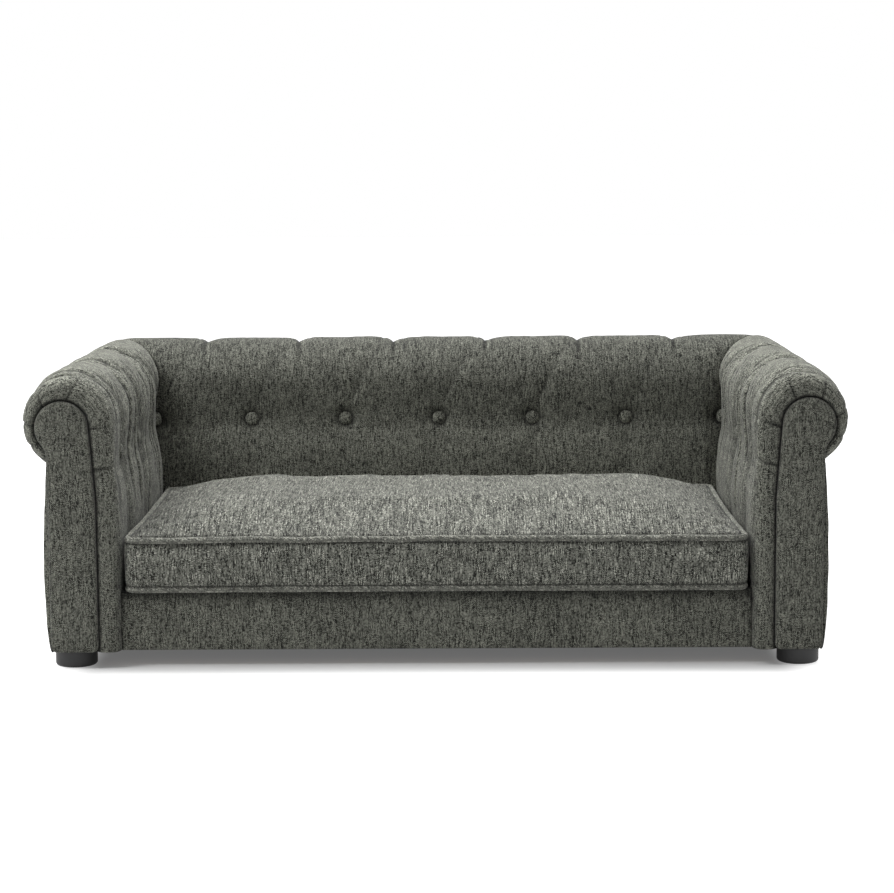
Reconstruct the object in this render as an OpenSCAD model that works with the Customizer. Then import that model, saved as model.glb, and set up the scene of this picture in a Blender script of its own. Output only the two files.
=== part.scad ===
// A small rolled-arm sofa for a pet: one loose seat cushion between two arms and a back of one height,
// tufted pads that run up the inner faces and over the rolls, scroll-shaped facings on the arm fronts,
// all on a timber frame with four screwed-on feet.
// Millimetres, +X to the sitter's left as seen from the front, +Y to the back, +Z up, floor at zero.

/* [Sofa] */
// Overall width across the two arm rolls
sofa_w = 1060; // [900:10:1300]
// Overall depth from the arm facings to the back roll
sofa_d = 600; // [540:10:720]
// Overall height from the floor to the top of the rolls
sofa_h = 384; // [370:2:440]

/* [Arms and back] */
// Width of an arm, and of the back, from its inner face to the outside of its roll
arm_w = 123; // [118:1:140]
// Outer radius of the padded roll
roll_r = 65; // [60:1:70]
// Radius of the foam sleeve inside the roll
core_r = 37.7; // [34:0.1:40]
// Wall of the foam sleeve
core_wall = 12.4; // [10:0.1:13]
// Distance from the outside of the roll in to the outer panel
panel_set = 27; // [24:1:30]
// Thickness of the outer panel along its edges
panel_edge_t = 4; // [3:0.5:5]
// How far the outer panel bulges in its middle
panel_bulge = 5; // [2:0.5:8]

/* [Tufting] */
// Height of the row of buttons
button_z = 268; // [255:1:280]
// Number of bays between buttons along the back
back_bays = 6; // [4:2:8]
// Number of bays between pleats along each arm
arm_bays = 3; // [2:1:4]
// Distance from the facing to the first pleat over the arm
first_pleat = 35; // [32:1:60]
// How far the corner buttons are pulled out past the inner faces
corner_pull = 6.4; // [4:0.2:10]
// Draw-in of the pad all along the row of buttons
waist_in = 7; // [4:0.5:8]
// Half height of that draw-in
waist_half = 26; // [20:1:34]
// How far the pad swells out below the buttons
belly_out = 3.6; // [0:0.2:4]
// Extra depth of the pit at each button
pit_d = 10; // [9:0.5:10]
// Radius over which a pit fades out
pit_r = 40; // [32:1:48]
// Depth of the folds and pleats
fold_d = 6; // [2:0.5:8]
// Half width of the folds and pleats
fold_half = 14; // [10:1:18]
// Length of the crease below each button
crease_l = 80; // [40:5:120]
// Diameter of a covered button
button_d = 20; // [16:1:22]
// Height of its dome
button_h = 5; // [3:0.5:7]

/* [Arm front] */
// Thickness of the padded facing
facing_t = 10; // [8:1:14]
// Radius of the facing's head
head_r = 34; // [30:1:36]
// Distance from the inner face of the arm to the facing's straight inner edge
facing_in = 28; // [26:1:34]
// Distance from the outer panel in to the facing's outer edge
facing_out = 3; // [2:1:8]
// How far the head's centre lies outside the roll's centre
head_shift = 11; // [8:1:13]
// How far the head's centre lies below the roll's centre
head_drop = 7; // [4:1:12]
// How far the facing's outer edge leans in below the head
neck_in = 4; // [1:0.5:6]
// Radius of the hollow below the head
neck_r = 30; // [20:1:40]
// Rounding of the facing's edge
facing_edge = 3; // [1:0.5:4]
// Rounding of the pad's front edge
pad_front_r = 15; // [12:1:15]
// How far the pad's front draws in towards the facing
pad_front_in = 14; // [10:1:16]
// How far the facing laps over the pad's front
facing_lap = 4; // [3:0.5:5]

/* [Seat cushion] */
// Gap between the cushion and each arm
cushion_gap = 5; // [4.6:0.2:12]
// Gap between the cushion and the back
cushion_back_gap = 5; // [4.6:0.2:12]
// Set-back of the cushion's front from the facings
cushion_set = 6; // [0:1:20]
// Height of the cushion at its edge, over both welts
cushion_edge_h = 73; // [65:1:90]
// Extra height of the crown in the middle
crown_h = 27; // [10:1:40]
// Corner radius of the cushion in plan
cushion_corner = 16; // [12:1:30]
// How far the long sides are drawn in at their middle
cushion_bow = 3; // [0:0.5:5]
// Diameter of the welt cord
welt_d = 8.6; // [6:0.2:10]
// Wadding between the cover and the foam
wadding = 16; // [12:1:22]
// How far the zip in the rear boxing ends short of the cushion's sides
zip_end_in = 102; // [80:2:240]

/* [Base and frame] */
// Diameter of a foot
foot_d = 54; // [44:1:60]
// Height of a foot
foot_h = 20; // [16:1:40]
// Rounding of the foot's lower edge
foot_edge = 4; // [1:0.5:6]
// Distance of a foot's centre from the outside of the roll
foot_in_x = 62; // [58:1:66]
// Distance of a foot's centre from the face in front of it or behind it
foot_in_y = 35; // [32:1:60]
// Height of the front rail and its deck over the foot
base_h = 77; // [70:1:90]
// Set-back of the front rail's panel from the facings
rail_set = 22; // [20:1:30]
// Thickness of the padded panel on the front rail
rail_panel_t = 6; // [4:1:10]
// Thickness of the rails
rail_t = 18; // [15:1:22]
// Thickness of the flat base boards
base_board_t = 25; // [22:1:30]
// Thickness of the seat deck
deck_t = 9; // [6:1:12]
// Thickness of the arm's front board
front_board_t = 15; // [12:1:18]
// Thickness of the inner boards behind the pads
inner_board_t = 3; // [2:0.5:5]
// Width of the posts and depth of the top rails, across the wall
post_w = 30; // [24:1:32]
// Width of the top rails across the wall
top_rail_w = 40; // [34:1:40]
// Height of the top rails
top_rail_h = 30; // [24:1:30]
// Length of a post along its wall
post_l = 40; // [30:1:50]
// Thickness of the dust cover under the sofa
dust_t = 0.8; // [0.5:0.1:1.5]
// Distance of the dust cover's edge from the outer panels
dust_in = 22; // [18:1:26]
// Diameter of the foot bolts
bolt_d = 8; // [6:1:10]
// Outside diameter of the threaded inserts
insert_d = 12; // [11:0.5:14]
// Shank diameter of the deck screws
screw_d = 4; // [3:0.5:5]
// Length of the deck screws
screw_l = 35; // [25:1:45]

/* [Hidden] */
$fn = 48;

// Clearances: between soft or curved faces, and of a screw or bolt in its hole
seat_gap = 0.3;
hole_gap = 0.3;
// Overrun of every cut past the face that it opens
over = 1;
// Lift of the pad's front border off the base
band_lift = 1;
// Thinnest foam left at the bottom of a pit
pad_min = 3;

// Main planes and heights
half_w = sofa_w / 2;
front_y = -sofa_d / 2;
inner_x = half_w - arm_w;
inner_y = sofa_d / 2 - arm_w;
mitre = inner_x - inner_y;
roll_w = arm_w - roll_r;
roll_z = sofa_h - roll_r;
core_w = roll_w - core_r;
panel_w = arm_w - panel_set;
panel_in_w = panel_w - 2 * panel_edge_t;
deck_z = foot_h + base_h;
rail_y = front_y + rail_set + rail_panel_t;
front_board_y = front_y + 2 * facing_t;
wall_y = front_board_y + front_board_t;
board_w = core_w + inner_board_t;
post_mid_w = roll_w;
top_rail_z = roll_z - top_rail_h / 2;

// The pad's section is measured along its surface: nothing at the buttons, up over the roll
face_s = roll_z - button_z;
quarter_s = PI * (roll_w + roll_r) / 4;
crown_s = face_s + quarter_s;
tack_angle = -60;
tack_s = crown_s + roll_r * (90 - tack_angle) * PI / 180;
pad_foot_z = deck_z + seat_gap;
foot_s = pad_foot_z - button_z;
band_foot_z = foot_h + band_lift;
// Rows of the section: shares of the height below the buttons, then equal steps up and over
lower_row_shares = [1, 0.7, 0.48, 0.3, 0.13, 0];
fold_rows = 4;
over_rows = 5;
bay_cols = 8;

function mix(a, b, t) = a + (b - a) * t;
function arc(c, r, from, to, steps) =
    [for (k = [0 : steps]) let (a = mix(from, to, k / steps)) c + r * [cos(a), sin(a)]];

// Angle of the section at s on the roll, seen from the roll's centre
function roll_angle(s) =
    s < crown_s ? 180 - 90 * (s - face_s) / quarter_s : 90 - (s - crown_s) / roll_r * 180 / PI;
// Smooth section of the pad, as [distance from the inner face, height]
function section_point(s) =
    s < face_s ? [0, button_z + s] :
    let (a = roll_angle(s))
    [roll_w + (a > 90 ? roll_w : roll_r) * cos(a), roll_z + roll_r * sin(a)];
function section_out(s) = s < face_s ? [-1, 0] : [cos(roll_angle(s)), sin(roll_angle(s))];

function to_line(p, a, b) =
    let (t = max(0, min(1, (p - a) * (b - a) / ((b - a) * (b - a)))))
    norm(p - a - t * (b - a));
function fade(d) = max(0, 1 - d / fold_half);

// Depth of the pad's surface below its smooth section, at u along the wall and s up the section:
// a swell below the buttons, a draw-in along them, a pit at each, two folds from each pit up to
// the pleats at mid bay, the pleats over the roll, and a crease below each button
belly_peak_share = 0.92;
belly_rise_share = 1.6;
function swell(s) =
    let (t = max(0, 1 + s / (button_z - pad_foot_z)))
    s > 0 ? 0 : -belly_out * max(0, sin(180 * pow(min(1, t / belly_peak_share), belly_rise_share)));
function waist(s) = waist_in * exp(-pow(s / waist_half, 2));
function pit(r) = pit_d * pow(max(0, 1 - r / pit_r), 2);
function tuft_depth(u, s, knots, pleats) =
    let (
        pits = max([for (b = knots) pit(norm([u - b, s]))]),
        pitch = pleats[1] - pleats[0],
        folds = s < 0 ? 0 : max(concat([0], [for (b = knots) for (c = pleats)
            if (abs(c - b) < pitch) fade(to_line([u, s], [b, 0], [c, crown_s]))])),
        across = s < crown_s ? 0 : max([for (c = pleats) fade(abs(u - c))]),
        crease = s > 0 ? 0 : max(0, 1 + s / crease_l) * max([for (b = knots) fade(abs(u - b))])
    )
    min(core_w - pad_min, swell(s) + waist(s) + max(pits, fold_d * max(folds, across, crease)));
function mitre_depth(s) =
    min(core_w - pad_min, swell(s) + waist(s)
        + max(pit(abs(s)), fold_d * (s > 0 ? 1 : max(0, 1 + s / crease_l))));

function section_rows(bottom_s) = concat(
    [for (t = lower_row_shares) t * bottom_s],
    [for (k = [1 : fold_rows]) crown_s * k / fold_rows],
    [for (k = [1 : over_rows]) mix(crown_s, tack_s, k / over_rows)]);
// Inside of the pad: a many-sided sleeve that clears the core, then the inner board's face
core_side = (180 - tack_angle) / 5;
sleeve_r = (core_r + seat_gap) / cos(core_side / 2);
function inside_path(bottom_z) = concat(
    [[roll_w, roll_z] + (core_r + seat_gap) * [cos(tack_angle), sin(tack_angle)]],
    [for (k = [0 : 4]) [roll_w, roll_z]
        + sleeve_r * [cos(tack_angle + core_side * (k + 0.5)), sin(tack_angle + core_side * (k + 0.5))]],
    [[core_w - seat_gap, button_z], [core_w - seat_gap, bottom_z]]);

// Triangles across a flat ring, from its two ends inward, by the shorter next diagonal that keeps
// the triangle on the ring's own side
function total(v, k = 0) = k < len(v) ? v[k] + total(v, k + 1) : [0, 0, 0];
function ring_normal(ring) = total([for (k = [1 : len(ring) - 2])
    cross(ring[k] - ring[0], ring[k + 1] - ring[0])]);
function side(ring, a, b, c, normal) = cross(ring[b] - ring[a], ring[c] - ring[a]) * normal;
function across_ring(ring, i, j, normal) =
    j - i < 2 ? [] :
    let (
        low = side(ring, i, i + 1, j, normal),
        high = side(ring, i, j - 1, j, normal),
        shorter = norm(ring[i + 1] - ring[j]) < norm(ring[i] - ring[j - 1])
    )
    low > 0 && (shorter || high <= 0)
        ? concat([[i, i + 1, j]], across_ring(ring, i + 1, j, normal))
        : concat([[i, j - 1, j]], across_ring(ring, i, j - 1, normal));
// A closed body from rings of as many points each, with flat ends; rising says which way the
// strip after each ring is split, so that the folds run along edges
module skin(rings, rising, loop = false) {
    n = len(rings[0]);
    m = len(rings);
    strips = loop ? m : m - 1;
    polyhedron(
        points = [for (r = rings) for (p = r) p],
        faces = concat(
            [for (i = [0 : strips - 1]) for (j = [0 : n - 1])
                let (
                    a = i * n + j,
                    b = i * n + (j + 1) % n,
                    c = ((i + 1) % m) * n + (j + 1) % n,
                    d = ((i + 1) % m) * n + j
                )
                each (rising[i] ? [[a, c, b], [a, d, c]] : [[a, d, b], [b, d, c]])],
            loop ? [] : concat(
                across_ring(rings[0], 0, n - 1, ring_normal(rings[0])),
                [for (t = across_ring(rings[m - 1], 0, n - 1, ring_normal(rings[m - 1])))
                    [for (j = [2 : -1 : 0]) (m - 1) * n + t[j]]])));
}

// Tufting of the back: knots are the buttons, pleats lie at mid bay
back_pitch = 2 * (inner_x + corner_pull) / back_bays;
back_knots = [for (k = [-back_bays / 2 : back_bays / 2]) k * back_pitch];
back_pleats = [for (k = [0 : back_bays - 1]) (k + 0.5 - back_bays / 2) * back_pitch];
back_cols = [for (k = [1 - back_bays * bay_cols / 2 : back_bays * bay_cols / 2 - 1])
    k * back_pitch / bay_cols];

// Tufting of an arm, measured from the facing's front
arm_end = inner_y - front_y;
arm_pitch = (sofa_d - roll_r - first_pleat) / arm_bays;
arm_knots = concat([for (k = [0 : arm_bays - 2]) first_pleat + (k + 0.5) * arm_pitch],
    [arm_end + corner_pull]);
arm_pleats = [for (k = [0 : arm_bays - 1]) first_pleat + k * arm_pitch];
arm_col_step = arm_pitch / bay_cols;
arm_cols = [for (k = [0 : floor((arm_end - first_pleat - arm_col_step) / arm_col_step)])
    first_pleat + k * arm_col_step];

function pad_point(s, depth) = section_point(s) - section_out(s) * depth;
function back_ring(x) = concat(
    [for (s = section_rows(foot_s))
        let (p = pad_point(s, tuft_depth(x, s, back_knots, back_pleats))) [x, inner_y + p[0], p[1]]],
    [for (p = inside_path(pad_foot_z)) [x, inner_y + p[0], p[1]]]);
// Rings near a mitre lean with it: side is 1 or -1, t runs from the last column to the mitre
function mitre_x(w) = inner_x + w - seat_gap;
function back_end_ring(side, t) = concat(
    [for (s = section_rows(foot_s))
        let (
            last = max(back_cols),
            u = mix(last, inner_x + corner_pull, t),
            depth = t < 1 ? tuft_depth(u, s, back_knots, back_pleats) : mitre_depth(s),
            p = pad_point(s, depth)
        )
        [side * mix(last, mitre_x(p[0]), t), inner_y + p[0], p[1]]],
    [for (p = inside_path(pad_foot_z))
        [side * mix(max(back_cols), mitre_x(p[0]), t), inner_y + p[0], p[1]]]);
function arm_ring(u, bottom_z, inset, inside) = concat(
    [for (s = section_rows(bottom_z - button_z))
        let (p = pad_point(s, inset + tuft_depth(u, s, arm_knots, arm_pleats)))
        [inner_x + p[0], front_y + u, p[1]]],
    [for (p = inside) [inner_x + p[0], front_y + u, p[1]]]);
function arm_end_ring(t) = concat(
    [for (s = section_rows(foot_s))
        let (
            last = max(arm_cols),
            u = mix(last, arm_end + corner_pull, t),
            depth = t < 1 ? tuft_depth(u, s, arm_knots, arm_pleats) : mitre_depth(s),
            p = pad_point(s, depth)
        )
        [inner_x + p[0], front_y + mix(last, arm_end + p[0] - seat_gap, t), p[1]]],
    [for (p = inside_path(pad_foot_z))
        [inner_x + p[0], front_y + mix(max(arm_cols), arm_end + p[0] - seat_gap, t), p[1]]]);

// Facing outline, drawn from the arm's inner face outward and inset all round: straight inner
// edge, round head, hollow neck, and an outer edge that leans in a little
head_w = roll_w + head_shift;
head_z = roll_z - head_drop;
facing_out_w = panel_w - facing_out;
neck_w = facing_out_w - neck_in;
facing_round = 8;
least_round = 1;
knee_share = 0.68;
head_steps = 20;
neck_steps = 6;
function facing_outline(inset, bottom_z) =
    let (
        hr = head_r - inset,
        nr = neck_r + inset,
        nw = neck_w - inset,
        nc_w = nw + nr,
        drop = sqrt(pow(hr + nr, 2) - pow(nc_w - head_w, 2)),
        lean = atan2(-drop, nc_w - head_w),
        knee = [facing_in + inset, mix(foot_h, head_z, knee_share)],
        reach = [head_w, head_z] - knee,
        meet = atan2(reach[1], reach[0]) + asin(hr / norm(reach)) + 90,
        br = max(facing_round - inset, least_round),
        left = facing_in + inset,
        right = facing_out_w - inset,
        low = bottom_z + inset
    )
    concat(
        arc([left + br, low + br], br, 270, 180, 3),
        [knee],
        arc([head_w, head_z], hr, meet, lean, head_steps),
        arc([nc_w, head_z - drop], nr, 180 + lean * (1 - 1 / neck_steps), 180, neck_steps - 1),
        arc([right - br, low + br], br, 360, 270, 3));
function facing_ring(inset, y) = [for (p = facing_outline(inset, foot_h)) [inner_x + p[0], y, p[1]]];

// The pad's front: the lip under the facing, then the rounding out to the full section
lip_turn = 174;
function lip_path(bottom_z) = concat(
    arc([head_w, head_z], head_r - facing_lap, tack_angle, lip_turn, 5),
    [[facing_in + facing_lap, mix(foot_h, head_z, knee_share)]],
    [[facing_in + facing_lap, bottom_z]]);
front_turn = [0, 22.5, 45, 67.5];
pad_front_u = facing_t;
front_ring_us = [for (a = front_turn) pad_front_u + pad_front_r * (1 - cos(a))];
function front_inset(a) = pad_front_in * (1 - sin(a));
arm_front_rings = concat(
    [for (k = [0 : 3]) arm_ring(min(front_ring_us[k], 2 * facing_t - 2 * seat_gap), band_foot_z,
        front_inset(front_turn[k]), lip_path(band_foot_z))],
    [arm_ring(2 * facing_t, band_foot_z, front_inset(front_turn[3]), inside_path(band_foot_z))],
    [arm_ring(rail_y - front_y - 3 * seat_gap, band_foot_z, 0, inside_path(band_foot_z))],
    [arm_ring(rail_y - front_y - seat_gap, pad_foot_z, 0, inside_path(pad_foot_z))]);

module arm_pad() {
    rings = concat(
        arm_front_rings,
        [for (u = arm_cols) arm_ring(u, pad_foot_z, 0, inside_path(pad_foot_z))],
        [arm_end_ring(0.5), arm_end_ring(1)]);
    lead = len(arm_front_rings);
    skin(rings, [for (i = [0 : len(rings) - 2])
        i < lead ? true : (floor((i - lead) / (bay_cols / 2)) % 2 == 1)]);
}
module back_pad() {
    color("dimgray")
    skin(
        concat([back_end_ring(1, 1), back_end_ring(1, 0.5)],
            [for (x = back_cols) back_ring(-x)],
            [back_end_ring(-1, 0.5), back_end_ring(-1, 1)]),
        [for (i = [0 : len(back_cols) + 2])
            floor((i - 1 + bay_cols) / (bay_cols / 2)) % 2 == 0]);
}
module arm_pad_right() { color("dimgray") arm_pad(); }
module arm_pad_left() { color("dimgray") mirror([1, 0, 0]) arm_pad(); }

// Plan cuts along the mitres: what lies on the right arm's side, or on the back's
far = sofa_w + sofa_d;
module mitre_part(arm) {
    translate([0, 0, -over])
        linear_extrude(height = sofa_h + 2 * over)
            polygon(arm
                ? [[0, -far], [far, -far], [far, far - mitre - seat_gap], [0, -mitre - seat_gap]]
                : [[0, seat_gap - mitre], [far, far - mitre + seat_gap],
                    [-far, far - mitre + seat_gap]]);
}
// A wall's own frame: x outward from its inner face, y along it, z up
module on_right_arm() { translate([inner_x, 0, 0]) children(); }
module on_back() { translate([0, inner_y, 0]) rotate([0, 0, 90]) mirror([0, 1, 0]) children(); }
module both_sides() {
    children();
    mirror([1, 0, 0]) children();
}
module bar(w0, w1, y0, y1, z0, z1) { translate([w0, y0, z0]) cube([w1 - w0, y1 - y0, z1 - z0]); }

// Feet, bolts and inserts
foot_x = half_w - foot_in_x;
foot_front_y = front_y + foot_in_y;
foot_rear_y = inner_y + panel_w - foot_in_y;
foot_places = [for (x = [-foot_x, foot_x]) for (y = [foot_front_y, foot_rear_y]) [x, y]];
bolt_foot_share = 0.7;
bolt_foot_depth = foot_h * bolt_foot_share;
// How far the insert stops below its board's top, and the bolt below the insert's
insert_short = 3;
bolt_short = 2;
insert_l = base_board_t - insert_short;
bolt_l = bolt_foot_depth + insert_l - bolt_short;
module foot(x, y) {
    color([0.15, 0.15, 0.16])
    translate([x, y, 0])
        difference() {
            rotate_extrude()
                polygon(concat([[0, 0]],
                    arc([foot_d / 2 - foot_edge, foot_edge], foot_edge, 270, 360, 6),
                    [[foot_d / 2, foot_h], [0, foot_h]]));
            translate([0, 0, foot_h - bolt_foot_depth - over])
                cylinder(h = bolt_foot_depth + 2 * over, d = bolt_d + hole_gap);
        }
}
module foot_front_left() { foot(-foot_x, foot_front_y); }
module foot_front_right() { foot(foot_x, foot_front_y); }
module foot_rear_left() { foot(-foot_x, foot_rear_y); }
module foot_rear_right() { foot(foot_x, foot_rear_y); }
module foot_bolts() {
    color("silver")
    for (p = foot_places)
        translate([p[0], p[1], foot_h - bolt_foot_depth]) cylinder(h = bolt_l, d = bolt_d);
}
module foot_inserts() {
    color("goldenrod")
    for (p = foot_places)
        translate([p[0], p[1], foot_h])
            difference() {
                cylinder(h = insert_l, d = insert_d);
                translate([0, 0, -over]) cylinder(h = insert_l + 2 * over, d = bolt_d + hole_gap);
            }
}
module insert_holes() {
    for (p = foot_places)
        translate([p[0], p[1], foot_h - over]) cylinder(h = insert_l + over, d = insert_d + hole_gap);
}

// Base boards under the walls, set back a little behind the inner boards
base_set = 2;
base_in_w = board_w + base_set;
base_out_w = panel_in_w;
base_top_z = foot_h + base_board_t;
base_back_y = inner_y + base_out_w;
module arm_base_rail() {
    difference() {
        on_right_arm() bar(base_in_w, base_out_w, front_board_y, base_back_y, foot_h, base_top_z);
        insert_holes();
    }
}
module arm_base_rail_right() { color("burlywood") arm_base_rail(); }
module arm_base_rail_left() { color("burlywood") mirror([1, 0, 0]) arm_base_rail(); }
module back_base_rail() {
    color("burlywood")
    bar(-inner_x - base_in_w, inner_x + base_in_w, inner_y + base_in_w, base_back_y, foot_h, base_top_z);
}

// Rails round the seat, with the deck on them
rail_top_z = deck_z - deck_t;
rear_rail_y = inner_y + core_w;
slat_xs = [-inner_x / 3, 0, inner_x / 3];
screw_ys = [for (k = [0 : 2]) mix(rail_y + rail_t * 2, rear_rail_y - rail_t, k / 2)];
screw_places = [for (x = slat_xs) for (y = screw_ys) [x, y]];
module screw_holes() {
    for (p = screw_places)
        translate([p[0], p[1], deck_z - screw_l - over])
            cylinder(h = screw_l + 2 * over, d = screw_d + hole_gap);
}
module front_rail() {
    color("burlywood")
    bar(-inner_x - core_w, inner_x + core_w, rail_y, rail_y + rail_t, foot_h, rail_top_z);
}
module rear_rail() {
    color("burlywood")
    bar(-inner_x - core_w, inner_x + core_w, rear_rail_y, rear_rail_y + rail_t,
        base_top_z, rail_top_z);
}
module side_rail() {
    on_right_arm()
        bar(core_w, core_w + rail_t, wall_y, rear_rail_y + rail_t, base_top_z, rail_top_z);
}
module side_rail_right() { color("burlywood") side_rail(); }
module side_rail_left() { color("burlywood") mirror([1, 0, 0]) side_rail(); }
module deck_slats() {
    color("burlywood")
    difference() {
        for (x = slat_xs)
            bar(x - rail_t / 2, x + rail_t / 2, rail_y + rail_t, rear_rail_y, base_top_z, rail_top_z);
        screw_holes();
    }
}
deck_x = inner_x + core_w;
module seat_deck() {
    color("tan")
    difference() {
        translate([0, 0, rail_top_z])
            linear_extrude(height = deck_t)
                polygon([
                    [-deck_x, rail_y], [deck_x, rail_y], [deck_x, wall_y], [deck_x + rail_t, wall_y],
                    [deck_x + rail_t, rear_rail_y + rail_t], [-deck_x - rail_t, rear_rail_y + rail_t],
                    [-deck_x - rail_t, wall_y], [-deck_x, wall_y]
                ]);
        screw_holes();
        for (p = screw_places)
            translate([p[0], p[1], deck_z - screw_d / 2])
                cylinder(h = screw_d / 2 + over, d = screw_d * 2 + hole_gap);
    }
}
module deck_screws() {
    color("silver")
    for (p = screw_places)
        translate([p[0], p[1], deck_z - screw_l]) {
            cylinder(h = screw_l, d = screw_d);
            translate([0, 0, screw_l - screw_d / 2]) cylinder(h = screw_d / 2, d = screw_d * 2);
        }
}

// Top edge of the outer panels, tucked under the rolls
panel_top_z = roll_z + roll_r * sin(tack_angle) - seat_gap * 4;
panel_top_w = roll_w + roll_r * cos(tack_angle);

// Uprights: the arm's front board with its round head, the posts, and the top rails in the rolls
board_out_w = panel_in_w - seat_gap;
function board_outline() =
    concat(
        [[board_out_w, base_top_z]],
        [[board_out_w, panel_top_z + (panel_top_w - board_out_w) * tan(-tack_angle)]],
        arc([roll_w, roll_z], core_r, tack_angle, 180, 24),
        [[core_w, base_top_z]]);
module arm_front_board() {
    on_right_arm()
        translate([0, wall_y, 0])
            rotate([90, 0, 0])
                linear_extrude(height = front_board_t)
                    polygon(board_outline());
}
module arm_front_board_right() { color("burlywood") arm_front_board(); }
module arm_front_board_left() { color("burlywood") mirror([1, 0, 0]) arm_front_board(); }
post_w0 = post_mid_w - post_w / 2;
post_w1 = post_mid_w + post_w / 2;
module arm_posts() {
    on_right_arm()
        for (y = [wall_y, (wall_y + inner_y) / 2])
            bar(post_w0, post_w1, y, y + post_l, base_top_z, top_rail_z);
}
module arm_posts_right() { color("burlywood") arm_posts(); }
module arm_posts_left() { color("burlywood") mirror([1, 0, 0]) arm_posts(); }
module back_posts() {
    color("burlywood")
    for (x = [-inner_x / 2, 0, inner_x / 2])
        bar(x - post_l / 2, x + post_l / 2, inner_y + post_w0, inner_y + post_w1, base_top_z, top_rail_z);
}
module corner_posts() {
    color("burlywood")
    both_sides()
        bar(inner_x + post_w0, inner_x + post_w1, inner_y + post_w0, inner_y + post_w1,
            base_top_z, top_rail_z);
}
rail_w0 = roll_w - top_rail_w / 2;
rail_w1 = roll_w + top_rail_w / 2;
module arm_top_rail() {
    intersection() {
        on_right_arm() bar(rail_w0, rail_w1, wall_y, sofa_d / 2, top_rail_z, top_rail_z + top_rail_h);
        mitre_part(true);
    }
}
module arm_top_rail_right() { color("burlywood") arm_top_rail(); }
module arm_top_rail_left() { color("burlywood") mirror([1, 0, 0]) arm_top_rail(); }
module back_top_rail() {
    color("burlywood")
    intersection() {
        bar(-half_w, half_w, inner_y + rail_w0, inner_y + rail_w1, top_rail_z, top_rail_z + top_rail_h);
        mitre_part(false);
    }
}

// Foam sleeves round the top rails, slit below for the posts
slit_w = post_w + 2 * seat_gap;
module sleeve(length) {
    rotate([-90, 0, 0])
        difference() {
            cylinder(h = length, r = core_r);
            translate([0, 0, -over]) cylinder(h = length + 2 * over, r = core_r - core_wall);
            translate([-slit_w / 2, 0, -over]) cube([slit_w, core_r + over, length + 2 * over]);
        }
}
module arm_roll_core() {
    intersection() {
        translate([inner_x + roll_w, wall_y, roll_z]) sleeve(sofa_d / 2 - wall_y);
        mitre_part(true);
    }
}
module arm_roll_core_right() { color("lightyellow") arm_roll_core(); }
module arm_roll_core_left() { color("lightyellow") mirror([1, 0, 0]) arm_roll_core(); }
module back_roll_core() {
    color("lightyellow")
    intersection() {
        translate([-half_w, inner_y + roll_w, roll_z]) rotate([0, 0, -90]) sleeve(sofa_w);
        mitre_part(false);
    }
}

// Thin boards behind the pads, from the deck up to the sleeves
board_top_z = roll_z - sqrt(pow(core_r + seat_gap, 2) - pow(core_r - inner_board_t, 2));
module arm_inner_board() {
    on_right_arm()
        bar(core_w, board_w, wall_y, inner_y + core_w, deck_z, board_top_z);
}
module arm_inner_board_right() { color("peru") arm_inner_board(); }
module arm_inner_board_left() { color("peru") mirror([1, 0, 0]) arm_inner_board(); }
module back_inner_board() {
    color("peru")
    bar(-inner_x - core_w, inner_x + core_w, inner_y + core_w, inner_y + board_w, deck_z, board_top_z);
}

// Facings and the boards they are stapled to, which stop short of the lip by some laps
facing_board_laps = 3;
module facing_board() {
    inset = facing_board_laps * facing_lap;
    on_right_arm()
        translate([0, front_board_y, 0])
            rotate([90, 0, 0])
                linear_extrude(height = facing_t)
                    polygon(facing_outline(inset, foot_h));
}
module facing_board_right() { color("tan") facing_board(); }
module facing_board_left() { color("tan") mirror([1, 0, 0]) facing_board(); }
edge_turn = [0, 45, 90];
module arm_facing() {
    rings = concat(
        [for (a = edge_turn) facing_ring(facing_edge * (1 - sin(a)), front_y + facing_edge * (1 - cos(a)))],
        [facing_ring(0, front_y + facing_t)]);
    skin(rings, [for (k = edge_turn) true]);
}
module arm_facing_right() { color("dimgray") arm_facing(); }
module arm_facing_left() { color("dimgray") mirror([1, 0, 0]) arm_facing(); }

// Panels outside the walls and on the front rail
panel_height_shares = [0, 0.16, 0.36, 0.6, 0.84, 1];
function panel_outline() = concat(
    [[panel_in_w, foot_h]],
    [for (t = panel_height_shares)
        [mix(panel_w - panel_edge_t, panel_top_w, t) + panel_bulge * sin(180 * t),
            mix(foot_h, panel_top_z, t)]],
    [[panel_in_w, panel_top_z + (panel_top_w - panel_in_w) * tan(-tack_angle)]]);
module panel_bar(length) {
    rotate([90, 0, 0])
        mirror([0, 0, 1])
            linear_extrude(height = length)
                polygon(panel_outline());
}
module outer_arm_panel() {
    intersection() {
        translate([inner_x, front_y + facing_t + seat_gap, 0]) panel_bar(sofa_d);
        mitre_part(true);
    }
}
module outer_arm_panel_right() { color("dimgray") outer_arm_panel(); }
module outer_arm_panel_left() { color("dimgray") mirror([1, 0, 0]) outer_arm_panel(); }
module outer_back_panel() {
    color("dimgray")
    intersection() {
        on_back() translate([0, -half_w, 0]) panel_bar(sofa_w);
        mitre_part(false);
    }
}
module front_rail_panel() {
    color("dimgray")
    bar(-inner_x + 4 * seat_gap, inner_x - 4 * seat_gap, rail_y - rail_panel_t, rail_y, foot_h, deck_z);
}
dust_x = inner_x + panel_w - dust_in;
module dust_cover() {
    color([0.1, 0.1, 0.1])
    difference() {
        bar(-dust_x, dust_x, front_board_y + dust_in, inner_y + panel_w - dust_in, foot_h - dust_t, foot_h);
        for (p = foot_places)
            translate([p[0], p[1], foot_h - dust_t - over])
                cylinder(h = dust_t + 2 * over, d = foot_d + 2 * hole_gap);
    }
}

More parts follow.
